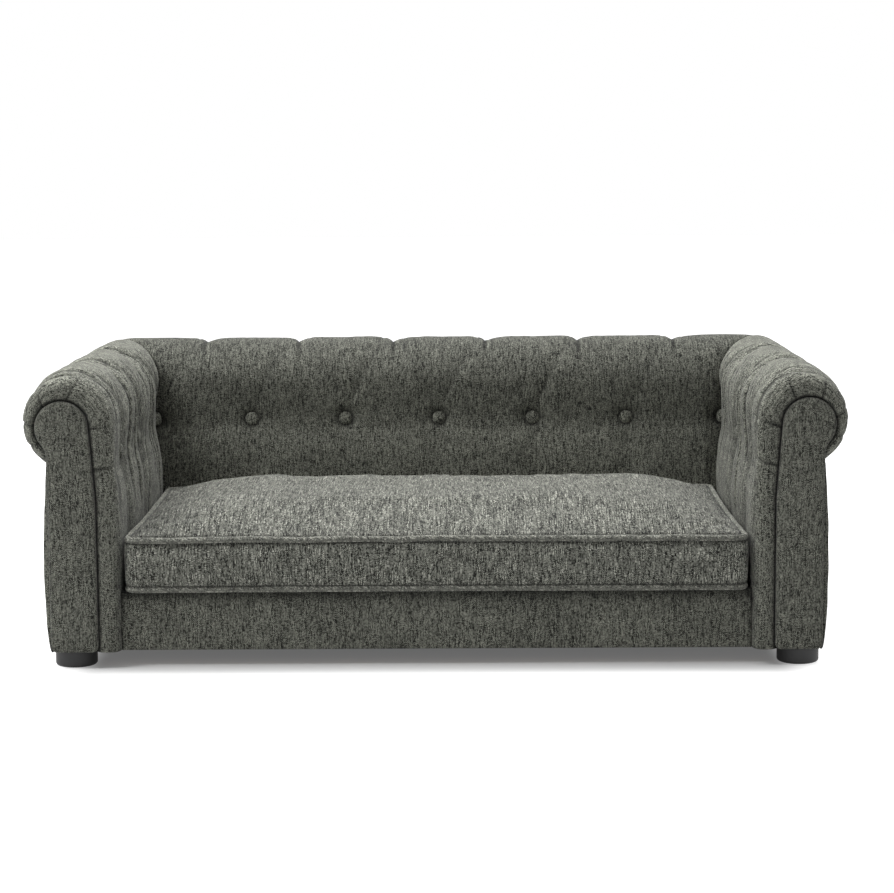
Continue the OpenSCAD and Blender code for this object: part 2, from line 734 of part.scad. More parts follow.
// Covered buttons: a dome on a short shank that reaches the bottom of its pit
button_back = 12.2;
rim_rise = 1.7;
shank_d = 6;
corner_sink = 4.6;
corner_shank = 13.4;
dome_r = (pow(button_d / 2, 2) + pow(button_h, 2)) / (2 * button_h);
dome_turn = asin(button_d / 2 / dome_r);
pit_bottom = min(core_w - pad_min, waist_in + max(pit_d, fold_d));
module button(shank) {
    rotate_extrude()
        polygon(concat(
            [[0, 0], [shank_d / 2, 0], [shank_d / 2, shank], [button_d / 2, shank + rim_rise]],
            arc([0, shank + rim_rise + button_h - dome_r], dome_r, 90 - dome_turn, 90, 8)));
}
module button_at(x, y, turn, shank = pit_bottom - button_back) {
    translate([x, y, button_z]) rotate([90, 0, turn]) button(shank);
}
button_sink = 1.7;
button_y = inner_y + pit_bottom - button_sink;
button_x = inner_x + pit_bottom - button_sink;
module back_buttons() {
    color("dimgray")
    for (x = [for (k = [1 : back_bays - 1]) back_knots[k]]) button_at(x, button_y, 0);
}
module arm_buttons() {
    for (k = [0 : arm_bays - 2]) button_at(button_x, front_y + arm_knots[k], -90);
}
module arm_buttons_right() { color("dimgray") arm_buttons(); }
module arm_buttons_left() { color("dimgray") mirror([1, 0, 0]) arm_buttons(); }
module corner_buttons() {
    color("dimgray")
    both_sides()
        button_at(inner_x + pit_bottom - corner_sink, inner_y + pit_bottom - corner_sink, -45, corner_shank);
}

// Seat cushion. Its plan is a rectangle with round corners and sides drawn in at their middle
cushion_x = inner_x - cushion_gap;
zip_l = 2 * (cushion_x - zip_end_in);
cushion_y0 = front_y + cushion_set;
cushion_y1 = inner_y - cushion_back_gap;
cushion_cy = (cushion_y0 + cushion_y1) / 2;
cushion_hy = (cushion_y1 - cushion_y0) / 2;
cushion_z0 = deck_z + seat_gap;
cushion_z1 = deck_z + cushion_edge_h;
corner_steps = 3;
long_steps = 14;
short_steps = 10;
function side_points(a, b, out, steps, bow) =
    [for (k = [1 : steps - 1]) let (t = k / steps) mix(a, b, t) - out * bow * 4 * t * (1 - t)];
corner_grow_share = 0.3;
corner_most_share = 0.9;
function cushion_plan(inset) =
    let (
        x = cushion_x - inset,
        y = cushion_hy - inset,
        r = min(cushion_corner + inset * corner_grow_share, y * corner_most_share),
        bow = cushion_bow * max(0, 1 - inset / cushion_hy)
    )
    [for (p = concat(
        arc([x - r, y - r], r, 0, 90, corner_steps),
        side_points([x - r, y], [r - x, y], [0, 1], long_steps, bow),
        arc([r - x, y - r], r, 90, 180, corner_steps),
        side_points([-x, y - r], [-x, r - y], [-1, 0], short_steps, bow),
        arc([r - x, r - y], r, 180, 270, corner_steps),
        side_points([r - x, -y], [x - r, -y], [0, -1], long_steps, bow),
        arc([x - r, r - y], r, 270, 360, corner_steps),
        side_points([x, r - y], [x, y - r], [1, 0], short_steps, bow))) p + [0, cushion_cy]];
// Insets and rises of the crown, from the seam to the flat of the middle
crown_inset_shares = [0.06, 0.11, 0.2, 0.35, 0.55, 0.8];
crown_rise_shares = [0.2, 0.36, 0.58, 0.79, 0.93, 1];
notch = welt_d + seat_gap;
boxing_in = 2;
function cushion_profile() = concat(
    [[notch, cushion_z0], [notch, cushion_z0 + notch], [boxing_in, cushion_z0 + notch]],
    [[boxing_in / 4, (cushion_z0 + cushion_z1) / 2]],
    [[boxing_in, cushion_z1 - notch], [notch, cushion_z1 - notch], [notch, cushion_z1]],
    [for (k = [0 : len(crown_inset_shares) - 1])
        [notch + cushion_hy * crown_inset_shares[k], cushion_z1 + crown_h * crown_rise_shares[k]]]);
pocket_h = 34;
pocket_d = 6.5;
pocket_wall = 7.5;
pocket_z = (cushion_z0 + cushion_z1) / 2;
pocket_x = zip_l / 2 + pocket_h / 2;
pocket_y = cushion_y1 - cushion_bow - pocket_d;
module cushion_cover() {
    rings = [for (q = cushion_profile()) [for (p = cushion_plan(q[0])) [p[0], p[1], q[1]]]];
    color("gray")
    difference() {
        skin(rings, [for (k = rings) true]);
        bar(-foam_x, foam_x, foam_y0, foam_y1, foam_z0, foam_z1);
        bar(-pocket_x, pocket_x, pocket_y, cushion_y1 + over,
            pocket_z - pocket_h / 2, pocket_z + pocket_h / 2);
    }
}
foam_x = cushion_x - wadding;
foam_y0 = cushion_y0 + wadding;
foam_y1 = pocket_y - pocket_wall;
foam_z0 = cushion_z0 + wadding / 2;
foam_z1 = cushion_z1 - wadding / 4;
module cushion_foam() {
    color("khaki") bar(-foam_x, foam_x, foam_y0, foam_y1, foam_z0, foam_z1);
}
// Welt cord, round in section, sewn along the seam
welt_sides = 6;
module welt(z) {
    outer = cushion_plan(0);
    inner = cushion_plan(welt_d);
    skin(
        [for (i = [0 : len(outer) - 1])
            let (mid = (outer[i] + inner[i]) / 2, way = (outer[i] - inner[i]) / norm(outer[i] - inner[i]))
            [for (a = [0 : 360 / welt_sides : 359])
                [mid[0] + way[0] * welt_d / 2 * cos(a), mid[1] + way[1] * welt_d / 2 * cos(a),
                    z - welt_d / 2 * sin(a)]]],
        [for (p = outer) true], true);
}
module cushion_top_welt() { color("gray") welt(cushion_z1 - welt_d / 2); }
module cushion_bottom_welt() { color("gray") welt(cushion_z0 + welt_d / 2); }

// Zip across the rear boxing: two tapes, the coil, and a slider with a pull on a rivet
tape_w = 9;
tape_t = 1;
coil_w = 6;
coil_t = 2;
coil_gap = 1.2;
tape_y = pocket_y + seat_gap;
coil_y = tape_y + tape_t;
module zip_tapes() {
    color("black")
    for (side = [-1, 1])
        bar(-zip_l / 2, zip_l / 2, pocket_y, coil_y,
            side > 0 ? pocket_z + coil_gap / 2 : pocket_z - coil_gap / 2 - tape_w,
            side > 0 ? pocket_z + coil_gap / 2 + tape_w : pocket_z - coil_gap / 2);
}
tooth_pitch = 10;
teeth = floor(zip_l / tooth_pitch);
module zip_teeth() {
    color("black")
    translate([-teeth * tooth_pitch / 2, coil_y + coil_t, pocket_z])
        rotate([90, 0, 0])
            linear_extrude(height = coil_t)
                polygon(concat(
                    [for (k = [0 : teeth]) [k * tooth_pitch, k % 2 == 0 ? coil_w / 2 : coil_w / 3]],
                    [for (k = [teeth : -1 : 0]) [k * tooth_pitch, k % 2 == 0 ? -coil_w / 3 : -coil_w / 2]]));
}
slider_l = 12;
slider_t = 1.4;
slider_gap = 0.4;
slider_x = zip_l / 2 - slider_l;
slider_y = coil_y + coil_t + slider_gap;
slider_h = coil_w + 2 * (slider_gap + slider_t);
rivet_d = 2.4;
rivet_head_d = 5;
pull_t = 1.2;
pull_l = 15;
pull_w = 7;
rivet_l = pull_t + 2 * slider_gap;
module zip_slider() {
    color("silver") {
        bar(slider_x - slider_l / 2, slider_x + slider_l / 2, slider_y, slider_y + slider_t,
            pocket_z - slider_h / 2, pocket_z + slider_h / 2);
        for (side = [-1, 1])
            bar(slider_x - slider_l / 2, slider_x + slider_l / 2, coil_y + slider_gap, slider_y + slider_t,
                pocket_z + (side > 0 ? slider_h / 2 - slider_t : -slider_h / 2),
                pocket_z + (side > 0 ? slider_h / 2 : -slider_h / 2 + slider_t));
        translate([slider_x, slider_y + slider_t - slider_gap, pocket_z]) rotate([-90, 0, 0]) {
            cylinder(h = rivet_l + 2 * slider_gap, d = rivet_d);
            translate([0, 0, rivet_l + slider_gap]) cylinder(h = slider_gap, d = rivet_head_d);
        }
    }
}
module zip_pull() {
    color("silver")
    translate([slider_x, slider_y + slider_t + slider_gap, pocket_z])
        rotate([-90, 0, 0])
            difference() {
                union() {
                    cylinder(h = pull_t, d = pull_w);
                    translate([-pull_w / 2, 0, 0]) cube([pull_w, pull_l - pull_w / 2, pull_t]);
                }
                translate([0, 0, -over]) cylinder(h = pull_t + 2 * over, d = rivet_d + 2 * slider_gap);
            }
}

arm_base_rail_left();
arm_base_rail_right();
back_base_rail();
front_rail();
rear_rail();
side_rail_left();
side_rail_right();
deck_slats();
seat_deck();
arm_front_board_left();
arm_front_board_right();
arm_posts_left();
arm_posts_right();
back_posts();
corner_posts();
arm_top_rail_left();
arm_top_rail_right();
back_top_rail();
arm_roll_core_left();
arm_roll_core_right();
back_roll_core();
arm_inner_board_left();
arm_inner_board_right();
back_inner_board();
arm_pad_left();
arm_pad_right();
back_pad();
facing_board_left();
facing_board_right();
arm_facing_left();
arm_facing_right();
outer_arm_panel_left();
outer_arm_panel_right();
outer_back_panel();
front_rail_panel();
back_buttons();
arm_buttons_left();
arm_buttons_right();
corner_buttons();
dust_cover();
foot_front_left();
foot_front_right();
foot_rear_left();
foot_rear_right();
foot_bolts();
foot_inserts();
deck_screws();
cushion_cover();
cushion_foam();
cushion_top_welt();
cushion_bottom_welt();
zip_tapes();
zip_teeth();
zip_slider();
zip_pull();
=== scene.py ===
"""Looks of a small rolled-arm pet sofa with tufted pads and one loose seat cushion.

Metres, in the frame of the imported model: +X to the right seen from the front, +Y to the back, +Z up.
Soft pieces are surfaces worked out on grids; the timber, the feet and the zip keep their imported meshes.
On a padded wall u is the place along it, s the length of cloth up from the buttons, below zero under
them, and w the distance out from the wall's inner face.
"""

import math

import bmesh
import bpy
import numpy as np
from mathutils import Matrix, Vector


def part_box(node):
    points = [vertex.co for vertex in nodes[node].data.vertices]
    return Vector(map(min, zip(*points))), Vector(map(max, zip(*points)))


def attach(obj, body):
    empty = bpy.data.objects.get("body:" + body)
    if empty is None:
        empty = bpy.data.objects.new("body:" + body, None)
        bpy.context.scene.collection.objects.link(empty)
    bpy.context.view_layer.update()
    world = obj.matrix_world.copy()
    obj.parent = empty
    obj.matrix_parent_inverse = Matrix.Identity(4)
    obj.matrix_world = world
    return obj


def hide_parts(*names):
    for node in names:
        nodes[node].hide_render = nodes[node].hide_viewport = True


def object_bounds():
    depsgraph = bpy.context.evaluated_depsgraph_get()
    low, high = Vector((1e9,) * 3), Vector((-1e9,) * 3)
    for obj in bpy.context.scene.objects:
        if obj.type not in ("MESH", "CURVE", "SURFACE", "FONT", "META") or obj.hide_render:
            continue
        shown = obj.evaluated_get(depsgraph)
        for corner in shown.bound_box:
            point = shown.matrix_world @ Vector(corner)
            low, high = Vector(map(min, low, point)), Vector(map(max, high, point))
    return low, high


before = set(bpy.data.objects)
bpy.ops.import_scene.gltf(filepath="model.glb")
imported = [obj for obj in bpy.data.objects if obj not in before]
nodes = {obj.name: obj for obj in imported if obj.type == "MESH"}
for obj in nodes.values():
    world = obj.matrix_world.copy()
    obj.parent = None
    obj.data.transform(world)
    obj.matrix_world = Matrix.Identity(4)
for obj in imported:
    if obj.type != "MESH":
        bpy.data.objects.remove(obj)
cad_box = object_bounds()
SIDES = ((1, "right"), (-1, "left"))


# Main planes and sizes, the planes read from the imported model

HALF_W = float(cad_box[1][0])
FRONT_Y = float(cad_box[0][1])
BACK_Y = float(cad_box[1][1])
TOP_Z = float(cad_box[1][2])
DECK_Z = float(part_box("seat_deck")[1][2])
BASE_Z = float(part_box("arm_base_rail_right")[0][2])

# Section of an arm and of the back
ARM_W = 0.123
ROLL_R = 0.065
CORE_R = 0.0377
CORE_FIT = 0.0006
INNER_X = HALF_W - ARM_W
INNER_Y = BACK_Y - ARM_W
ROLL_W = ARM_W - ROLL_R
ROLL_Z = TOP_Z - ROLL_R
CORE_W = ROLL_W - CORE_R
BUTTON_Z = 0.268
FACE_S = ROLL_Z - BUTTON_Z
QUARTER_S = math.pi * (ROLL_W + ROLL_R) / 4
CROWN_S = FACE_S + QUARTER_S
TACK_ANGLE = -60.0
TACK_S = CROWN_S + ROLL_R * math.radians(90 - TACK_ANGLE)
SEAT_GAP = 0.0003
BAND_FOOT_Z = BASE_Z + 0.001
PAD_FOOT_Z = DECK_Z + SEAT_GAP

# Places of the buttons and pleats
BAYS = 6
CORNER_PULL = 0.0064
BACK_PITCH = 2 * (INNER_X + CORNER_PULL) / BAYS
BACK_KNOTS = [(k - BAYS / 2) * BACK_PITCH for k in range(BAYS + 1)]
BACK_PLEATS = [(k + 0.5 - BAYS / 2) * BACK_PITCH for k in range(BAYS)]
FIRST_PLEAT = 0.035
ARM_END = INNER_Y - FRONT_Y
ARM_PITCH = (BACK_Y - FRONT_Y - ROLL_R - FIRST_PLEAT) / 3
ARM_KNOTS = [FIRST_PLEAT + 0.5 * ARM_PITCH, FIRST_PLEAT + 1.5 * ARM_PITCH, ARM_END + CORNER_PULL]
ARM_PLEATS = [FIRST_PLEAT + k * ARM_PITCH for k in range(3)]
MITRE_LEAD = 0.014
BUTTON_R = 0.010
BUTTON_H = 0.0052
BUTTON_BACK = 0.0117
CORNER_BACK = 0.0099

# Depths of the tufting
PIT_BOTTOM = 0.017
DEEPEST = PIT_BOTTOM + 0.0002
PIT_DEPTH = 0.0108
PIT_REACH = 0.036
DRAW_IN = 0.0040
DRAW_REACH = 0.030
SWELL = 0.0026
FOLD_DEPTH = 0.0072
FINE_DEPTHS = (0.0007, 0.0021)
FINE_CREASE = (0.0016, 0.006, 0.55)
FALL_DEPTH = 0.0062
FALL_SWAY = 0.0022
SLANT_DEPTH = 0.0031
SLANT_CREASE = (0.003, 0.014, 0.45)
PLEAT_DEPTH = 0.0070
PLEAT_SWAY = 0.0016
TUCK_DEPTH = 0.0021
TUCK_GAPS = (-0.0125, 0.0135)
TUCK_SIDES = (0.006, 0.0016)
DRAPE_STEP = 0.012
DRAPE_DEPTHS = (0.0024, 0.0046)
DRAPE_SIDES = (0.0085, 0.0012)
HOLLOW = 0.0024
HOLLOW_REACH = 0.022
MITRE_DEPTH = 0.0062
MITRE_WIDTH = 0.0055
# Widths of the painted shade in a pleat's slit and round a button, and place and width of the painted
# highlight beside a slit
SLIT_WIDTH = 0.0027
SLIT_HIGHLIGHT_AWAY = 0.0062
SLIT_HIGHLIGHT_WIDTH = 0.0024
RING_WIDTH = 0.0035

# An arm's front band
BAND_IN = 0.0270
BAND_IN_ROLL = 0.0095
BAND_LIP = 0.0035
BAND_END = 0.0375
BAND_GROOVE = 0.0055
GATHER_DEPTHS = (0.0018, 0.0026)
FAINT_DEPTHS = (0.0003, 0.0008)
GATHER_SIDES = (0.0050, 0.0012)

# Facings
FACING_T = 0.010
HEAD_R = 0.034
HEAD_W = ROLL_W + 0.011
HEAD_Z = ROLL_Z - 0.007
FACING_IN = 0.028
NECK_W = 0.089
NECK_R = 0.030
KNEE_Z = BASE_Z + 0.68 * (HEAD_Z - BASE_Z)
LAP = 0.004
FACING_CORNER = 0.008
FACING_EDGE = 0.0042
FACING_SWELL = 0.0016
FACING_GAP = 0.0006

# Panels
PANEL_IN_W = 0.088
PANEL_FOOT_W = 0.092
PANEL_TOP_W = ROLL_W + ROLL_R * math.cos(math.radians(TACK_ANGLE))
PANEL_TOP_Z = ROLL_Z + ROLL_R * math.sin(math.radians(TACK_ANGLE)) - 4 * SEAT_GAP
PANEL_BULGE = 0.005
PANEL_LAP = 0.0055
PANEL_DIP = 0.0027
PANEL_INSET = 0.0004
HEM_R = 0.002
RAIL_EDGE = 0.0026

# Cushion
CUSHION_X = INNER_X - 0.005
CUSHION_Y0 = FRONT_Y + 0.006
CUSHION_Y1 = INNER_Y - 0.005
CUSHION_Z0 = DECK_Z + SEAT_GAP
CUSHION_Z1 = DECK_Z + 0.073
CUSHION_CY = (CUSHION_Y0 + CUSHION_Y1) / 2
CUSHION_HY = (CUSHION_Y1 - CUSHION_Y0) / 2
CUSHION_BOW = 0.003
CROWN_H = 0.027
CROWN_START_SHARE = 0.82
COVER_CORNER = 0.012
BOXING_CORNER = 0.016
BOXING_INSET = 0.0016
WELT_D = 0.0086
WELT_CORNER = 0.014
POCKET_Y = CUSHION_Y1 - CUSHION_BOW - 0.0065
POCKET_Z = (CUSHION_Z0 + CUSHION_Z1) / 2
POCKET_X = 0.317
POCKET_HALF = 0.0168
PUCKER, PUCKER_PITCH = 0.0007, 0.021
UNEVEN_PUCKER = 0.0006
HEAVE = 0.0016
RUCK, RUCK_PITCH = 0.0006, 0.026
BOXING_DENT = 0.0009
DUST_SAG = 0.0022
DUST_T = 0.0005
FILLING = dict(quality=6, mass=0.25, tension_stiffness=12, compression_stiffness=12, shear_stiffness=4,
               bending_stiffness=0.4, air_damping=2, use_pressure=True, uniform_pressure_force=3.2,
               shrink_min=-0.015, vertex_group_mass="held")
FILL_FRAMES = 20
FILL_MOST = 0.012

# Floor, light and camera
FLOOR_HALF = 14.0
FLOOR_GLOW = 0.13
SHADE_IN = 0.10
SHADE_REACH = 0.085
SKY_LEVEL = 0.31
LENS = 95.6
EYE = (0.0377, -3.2902, 0.6659)
TILT, TURN, ROLL = (math.radians(a) for a in (7.23, -0.43, -0.37))


# Sums and grids

def waves(u, v, seed, size, count=14):
    """Smooth unevenness between about -1 and 1: a sum of sine waves of random directions whose
    lengths lie round size."""
    rng = np.random.default_rng(seed)
    total = np.zeros(np.broadcast(u, v).shape)
    for _ in range(count):
        turn = rng.uniform(0, 2 * math.pi)
        rate = 2 * math.pi / (size * rng.uniform(0.6, 1.7))
        total += np.sin(rate * (u * math.cos(turn) + v * math.sin(turn)) + rng.uniform(0, 2 * math.pi))
    return total / math.sqrt(count) * 0.7


def ease(x, lo, hi):
    """0 up to lo, 1 from hi, and a smooth rise between."""
    t = np.clip((x - lo) / (hi - lo), 0, 1)
    return t * t * (3 - 2 * t)


def bell(x, width):
    """1 at zero, falling smoothly on both sides."""
    return np.exp(-(x / width) ** 2)


def fade(x, width):
    """1 up to zero, then falling, steeply at first."""
    return np.exp(-np.clip(x, 0, 1) / width)


def at(*parts):
    """A grid of points, or of places on the cloth, from its coordinates spread to one size."""
    return np.stack(np.broadcast_arrays(*parts), axis=-1)


def joined(*parts, axis=1):
    """Grids one after another along an axis, each first spread to the others' size the other way."""
    size = max(part.shape[1 - axis] for part in parts)
    shapes = [(size, part.shape[1]) if axis else (part.shape[0], size) for part in parts]
    return np.concatenate([np.broadcast_to(part, shape) for part, shape in zip(parts, shapes)], axis)


def averaged(field, reach):
    """A field smoothed along both ways of its grid, each by a running mean of 2 reach + 1 points."""
    for axis in (0, 1):
        before = np.repeat(np.take(field, [0], axis), reach + 1, axis)
        after = np.repeat(np.take(field, [-1], axis), reach, axis)
        total = np.cumsum(np.concatenate([before, field, after], axis), axis)
        count = total.shape[axis]
        field = (np.take(total, range(2 * reach + 1, count), axis)
                 - np.take(total, range(0, count - 2 * reach - 1), axis)) / (2 * reach + 1)
    return field


def stations(lo, hi, step, close_to, finest=0.0008, reach=0.006):
    """Places from lo to hi, step apart, drawn closer together round the places in close_to."""
    x = np.linspace(lo, hi, 4000)
    rate = 1 / step + sum((1 / finest - 1 / step) * bell(x - c, reach) for c in close_to)
    count = np.concatenate([[0], np.cumsum((rate[1:] + rate[:-1]) / 2 * np.diff(x))])
    return np.interp(np.linspace(0, count[-1], int(count[-1])), count, x)


# Meshes

def cells(index):
    """The four corners of each cell of a grid of vertex numbers."""
    corners = index[:-1, :-1], index[:-1, 1:], index[1:, 1:], index[1:, :-1]
    return np.stack(corners, axis=-1).reshape(-1, 4)


def write(items, field, values, kind=np.float32):
    """Sets one field of a mesh's vertices, corners or faces."""
    items.foreach_set(field, np.asarray(values, dtype=kind).ravel())


def read(items, field, width=1, kind=np.float32):
    """One field of a mesh's vertices, corners or faces, a row for each when it has several parts."""
    values = np.empty(len(items) * width, dtype=kind)
    items.foreach_get(field, values)
    return values.reshape(-1, width) if width > 1 else values


def make_object(name, points, uv, crest, quads, caps=()):
    """A mesh object from points (n, 3) with places on the cloth (n, 2), crest values (n), quads
    (m, 4) and caps of any number of corners. The places on the cloth become the map "cloth"."""
    corners = np.concatenate([np.ravel(face) for face in (quads, *caps)]).astype(np.int32)
    sizes = [0] + [len(cap) for cap in caps]
    starts = np.concatenate([np.arange(0, 4 * len(quads), 4), 4 * len(quads) + np.cumsum(sizes)[:-1]])
    mesh = bpy.data.meshes.new(name)
    mesh.vertices.add(len(points))
    write(mesh.vertices, "co", points)
    mesh.loops.add(len(corners))
    write(mesh.loops, "vertex_index", corners, np.int32)
    mesh.polygons.add(len(starts))
    write(mesh.polygons, "loop_start", starts, np.int32)
    write(mesh.polygons, "use_smooth", np.ones(len(starts)), bool)
    write(mesh.uv_layers.new(name="cloth").data, "uv", uv[corners])
    # crest: painted light and shade, read by the cloth materials
    write(mesh.attributes.new("crest", "FLOAT", "POINT").data, "value", crest)
    mesh.update()
    mesh.validate()
    return placed(name, mesh)


def placed(name, data):
    """An object for a mesh, a lamp or a camera, linked into the scene at the origin."""
    obj = bpy.data.objects.new(name, data)
    bpy.context.collection.objects.link(obj)
    return obj


def weld(obj, distance=0.00002):
    """Closes seams and poles: merges points that coincide, and turns all faces outward."""
    work = bmesh.new()
    work.from_mesh(obj.data)
    bmesh.ops.remove_doubles(work, verts=work.verts, dist=distance)
    bmesh.ops.dissolve_degenerate(work, edges=work.edges, dist=distance / 4)
    bmesh.ops.recalc_face_normals(work, faces=work.faces)
    for face in work.faces:
        face.smooth = True
    work.to_mesh(obj.data)
    work.free()
    obj.data.update()
    return obj


def loft(name, points, uv, crest, form="rings"):
    """An object from a (rows, columns, 3) grid. Each row is a ring that closes, except in a "sheet";
    in a "hoop" the last row joins the first, and "capped" puts a flat face on the end rings."""
    rows, columns = points.shape[:2]
    index = np.arange(rows * columns).reshape(rows, columns)
    caps = [index[0][::-1], index[-1]] if form == "capped" else []
    if form != "sheet":
        index = np.concatenate([index, index[:, :1]], axis=1)
    if form == "hoop":
        index = np.concatenate([index, index[:1]])
    uv = np.broadcast_to(uv, (rows, columns, 2)).reshape(-1, 2)
    crest = np.broadcast_to(crest, (rows, columns)).ravel()
    return weld(make_object(name, points.reshape(-1, 3), uv, crest, cells(index), caps))


# The tufted pads

def section(s):
    """The smooth section: a straight inner face up to the roll, a quarter of an ellipse to the top,
    then a circle. Returns distance from the inner face, height, and the outward direction."""
    on_face = s < FACE_S
    a = np.where(s < CROWN_S, math.pi - (math.pi / 2) * (s - FACE_S) / QUARTER_S,
                 math.pi / 2 - (s - CROWN_S) / ROLL_R)
    reach = np.where(a > math.pi / 2, ROLL_W, ROLL_R)
    w = np.where(on_face, 0.0, ROLL_W + reach * np.cos(a))
    z = np.where(on_face, BUTTON_Z + s, ROLL_Z + ROLL_R * np.sin(a))
    return w, z, np.where(on_face, -1.0, np.cos(a)), np.where(on_face, 0.0, np.sin(a))


def section_steps(foot_z):
    """Places along the section: closer together round the buttons and over the roll."""
    near, fine = -0.032, 0.0021
    foot_s = foot_z - BUTTON_Z
    low = np.linspace(foot_s, near, int((near - foot_s) / 0.0040), endpoint=False)
    middle = np.arange(near, CROWN_S, fine)
    return np.concatenate([low, middle, np.linspace(middle[-1] + fine, TACK_S, 60)])[None, :]


def crease(x, sharp=0.0021, wide=0.013, share=0.6):
    """A fold seen across: a sharp cusp in a soft valley, 1 at the fold and 0 away from it."""
    return share * np.exp(-np.abs(x) / sharp) + (1 - share) * bell(x, wide)


def laid_fold(x, long_side=0.012, short_side=0.0022):
    """A laid pleat seen across: cloth dives steeply on one side and rises slowly on the other."""
    return np.where(x > 0, np.exp(-np.abs(x) / long_side), np.exp(-np.abs(x) / short_side))


def from_pleat(u, s, c):
    """Distance from a pleat's line, which sways a little on its way over the roll."""
    return u - c - PLEAT_SWAY * np.sin(s / 0.034 + c * 31)


def button_folds(u, s, knots, pleats, rng, strength, channel):
    """What the buttons draw in. Returns the pits' depth; the depth of two folds from each pit up to
    the pleats at mid bay and, below it, of a channel with a crease and two soft diagonals; the depth
    of finer folds fanned between; and the distance to the nearest main fold."""
    pits, drawn, fine = (np.zeros(np.broadcast(u, s).shape) for _ in range(3))
    nearest = np.ones(pits.shape)
    pitch, foot = pleats[1] - pleats[0], DECK_Z - BUTTON_Z
    rise = np.clip(s / CROWN_S, 0, 1)
    upper = (s > 0) & (s < CROWN_S * 1.03)
    for b in knots:
        pits = np.maximum(pits, PIT_DEPTH * np.clip(1 - np.hypot(u - b, s) / PIT_REACH, 0, 1) ** 2)
        for c in pleats:
            if abs(c - b) >= pitch:
                continue
            lean = (c - b) / CROWN_S
            bend = 1.0 + rng.uniform(0.05, 0.22)
            away = (u - (b + (c - b) * rise ** bend)) / math.hypot(1, lean)
            deep = strength * (FOLD_DEPTH - 0.0010 * rise) * rng.uniform(0.8, 1.1)
            drawn = np.maximum(drawn, np.where(upper, crease(away) * deep, 0))
            nearest = np.minimum(nearest, np.where(upper, np.abs(away), 1.0))
            for share in (0.12, 0.34, 0.56, 0.78):
                share += rng.uniform(-0.07, 0.07)
                deep = rng.uniform(*FINE_DEPTHS) * (0.4 + 0.6 * strength)
                top = rng.uniform(0.62, 1.0)
                line = (u - (b + (c - b) * share * rise ** 1.05)) / math.hypot(1, lean * share)
                length = ease(rise, 0.10, 0.30) * (1 - ease(rise, top - 0.2, top))
                pinch = crease(line, *FINE_CREASE) * deep * length
                fine = np.maximum(fine, np.where(upper, pinch, 0))
        groove = bell(u - b, 0.012 + 1.6 * channel) * channel
        drawn = np.maximum(drawn, groove * np.clip(1.12 + s / 0.30, 0, 1) * (1 - ease(s, 0.0, 0.05)))
        wander = FALL_SWAY * np.sin(s / 0.021 + b * 40)
        fall = crease(u - b - wander, 0.0022, 0.012) * FALL_DEPTH * np.clip(1 + s / 0.095, 0, 1) * strength
        drawn = np.maximum(drawn, np.where(s <= 0.004, fall, 0))
        for side in (-1, 1):
            spread = rng.uniform(0.16, 0.34)
            slant = (u - b - side * spread * pitch * np.clip(s / foot, 0, 1) ** 0.8) / 1.12
            soft = np.clip(-s / 0.02, 0, 1) * np.clip(1.15 - s / foot * 1.25, 0, 1) * strength
            diagonal = crease(slant, *SLANT_CREASE) * SLANT_DEPTH * soft
            drawn = np.maximum(drawn, np.where(s < 0, diagonal, 0))
    return pits, drawn, fine, nearest


def pleat_folds(u, s, pleats, rng, lay, drapes, edge):
    """A laid pleat over the roll at mid bay with a smaller tuck on both sides, and long slack
    drapes, a few to a pleat, from the roll down the face. Returns both depths and the distance to
    the nearest pleat over the roll."""
    across, hanging = (np.zeros(np.broadcast(u, s).shape) for _ in range(2))
    nearest = np.ones(across.shape)
    over = ease(s, CROWN_S * 0.80, CROWN_S * 1.0)
    tuck = ease(s, CROWN_S * 0.45, CROWN_S * 0.8) * (1 - ease(s, TACK_S * 0.6, TACK_S * 0.9))
    for c in pleats:
        x = from_pleat(u, s, c) * lay
        deep = PLEAT_DEPTH - 0.0028 * np.clip((s - CROWN_S) / (TACK_S - CROWN_S), 0, 1)
        across = np.maximum(across, laid_fold(x, 0.010, edge) * deep * over)
        for gap in TUCK_GAPS:
            second = laid_fold(x - gap * (1 + 0.25 * np.sin(c * 77 + gap * 900)), *TUCK_SIDES)
            across = np.maximum(across, second * TUCK_DEPTH * tuck)
        for k in range(drapes):
            place = k - (drapes - 1) / 2
            start = c + place * DRAPE_STEP + rng.uniform(-0.003, 0.003)
            sweep = place * 0.013 + rng.uniform(-0.006, 0.006)
            low_end = rng.uniform(-0.17, -0.03)
            line = (u - start - sweep * ease(CROWN_S - s, 0, CROWN_S - low_end)) * rng.choice([-1, 1])
            length = ease(s, low_end, low_end + 0.06) * (1 - ease(s, CROWN_S * 1.15, CROWN_S * 1.6))
            drape = laid_fold(line, *DRAPE_SIDES) * rng.uniform(*DRAPE_DEPTHS) * length
            hanging = np.maximum(hanging, drape)
        nearest = np.minimum(nearest, np.where(s > CROWN_S * 0.95, np.abs(x), 1.0))
    return across, hanging, nearest


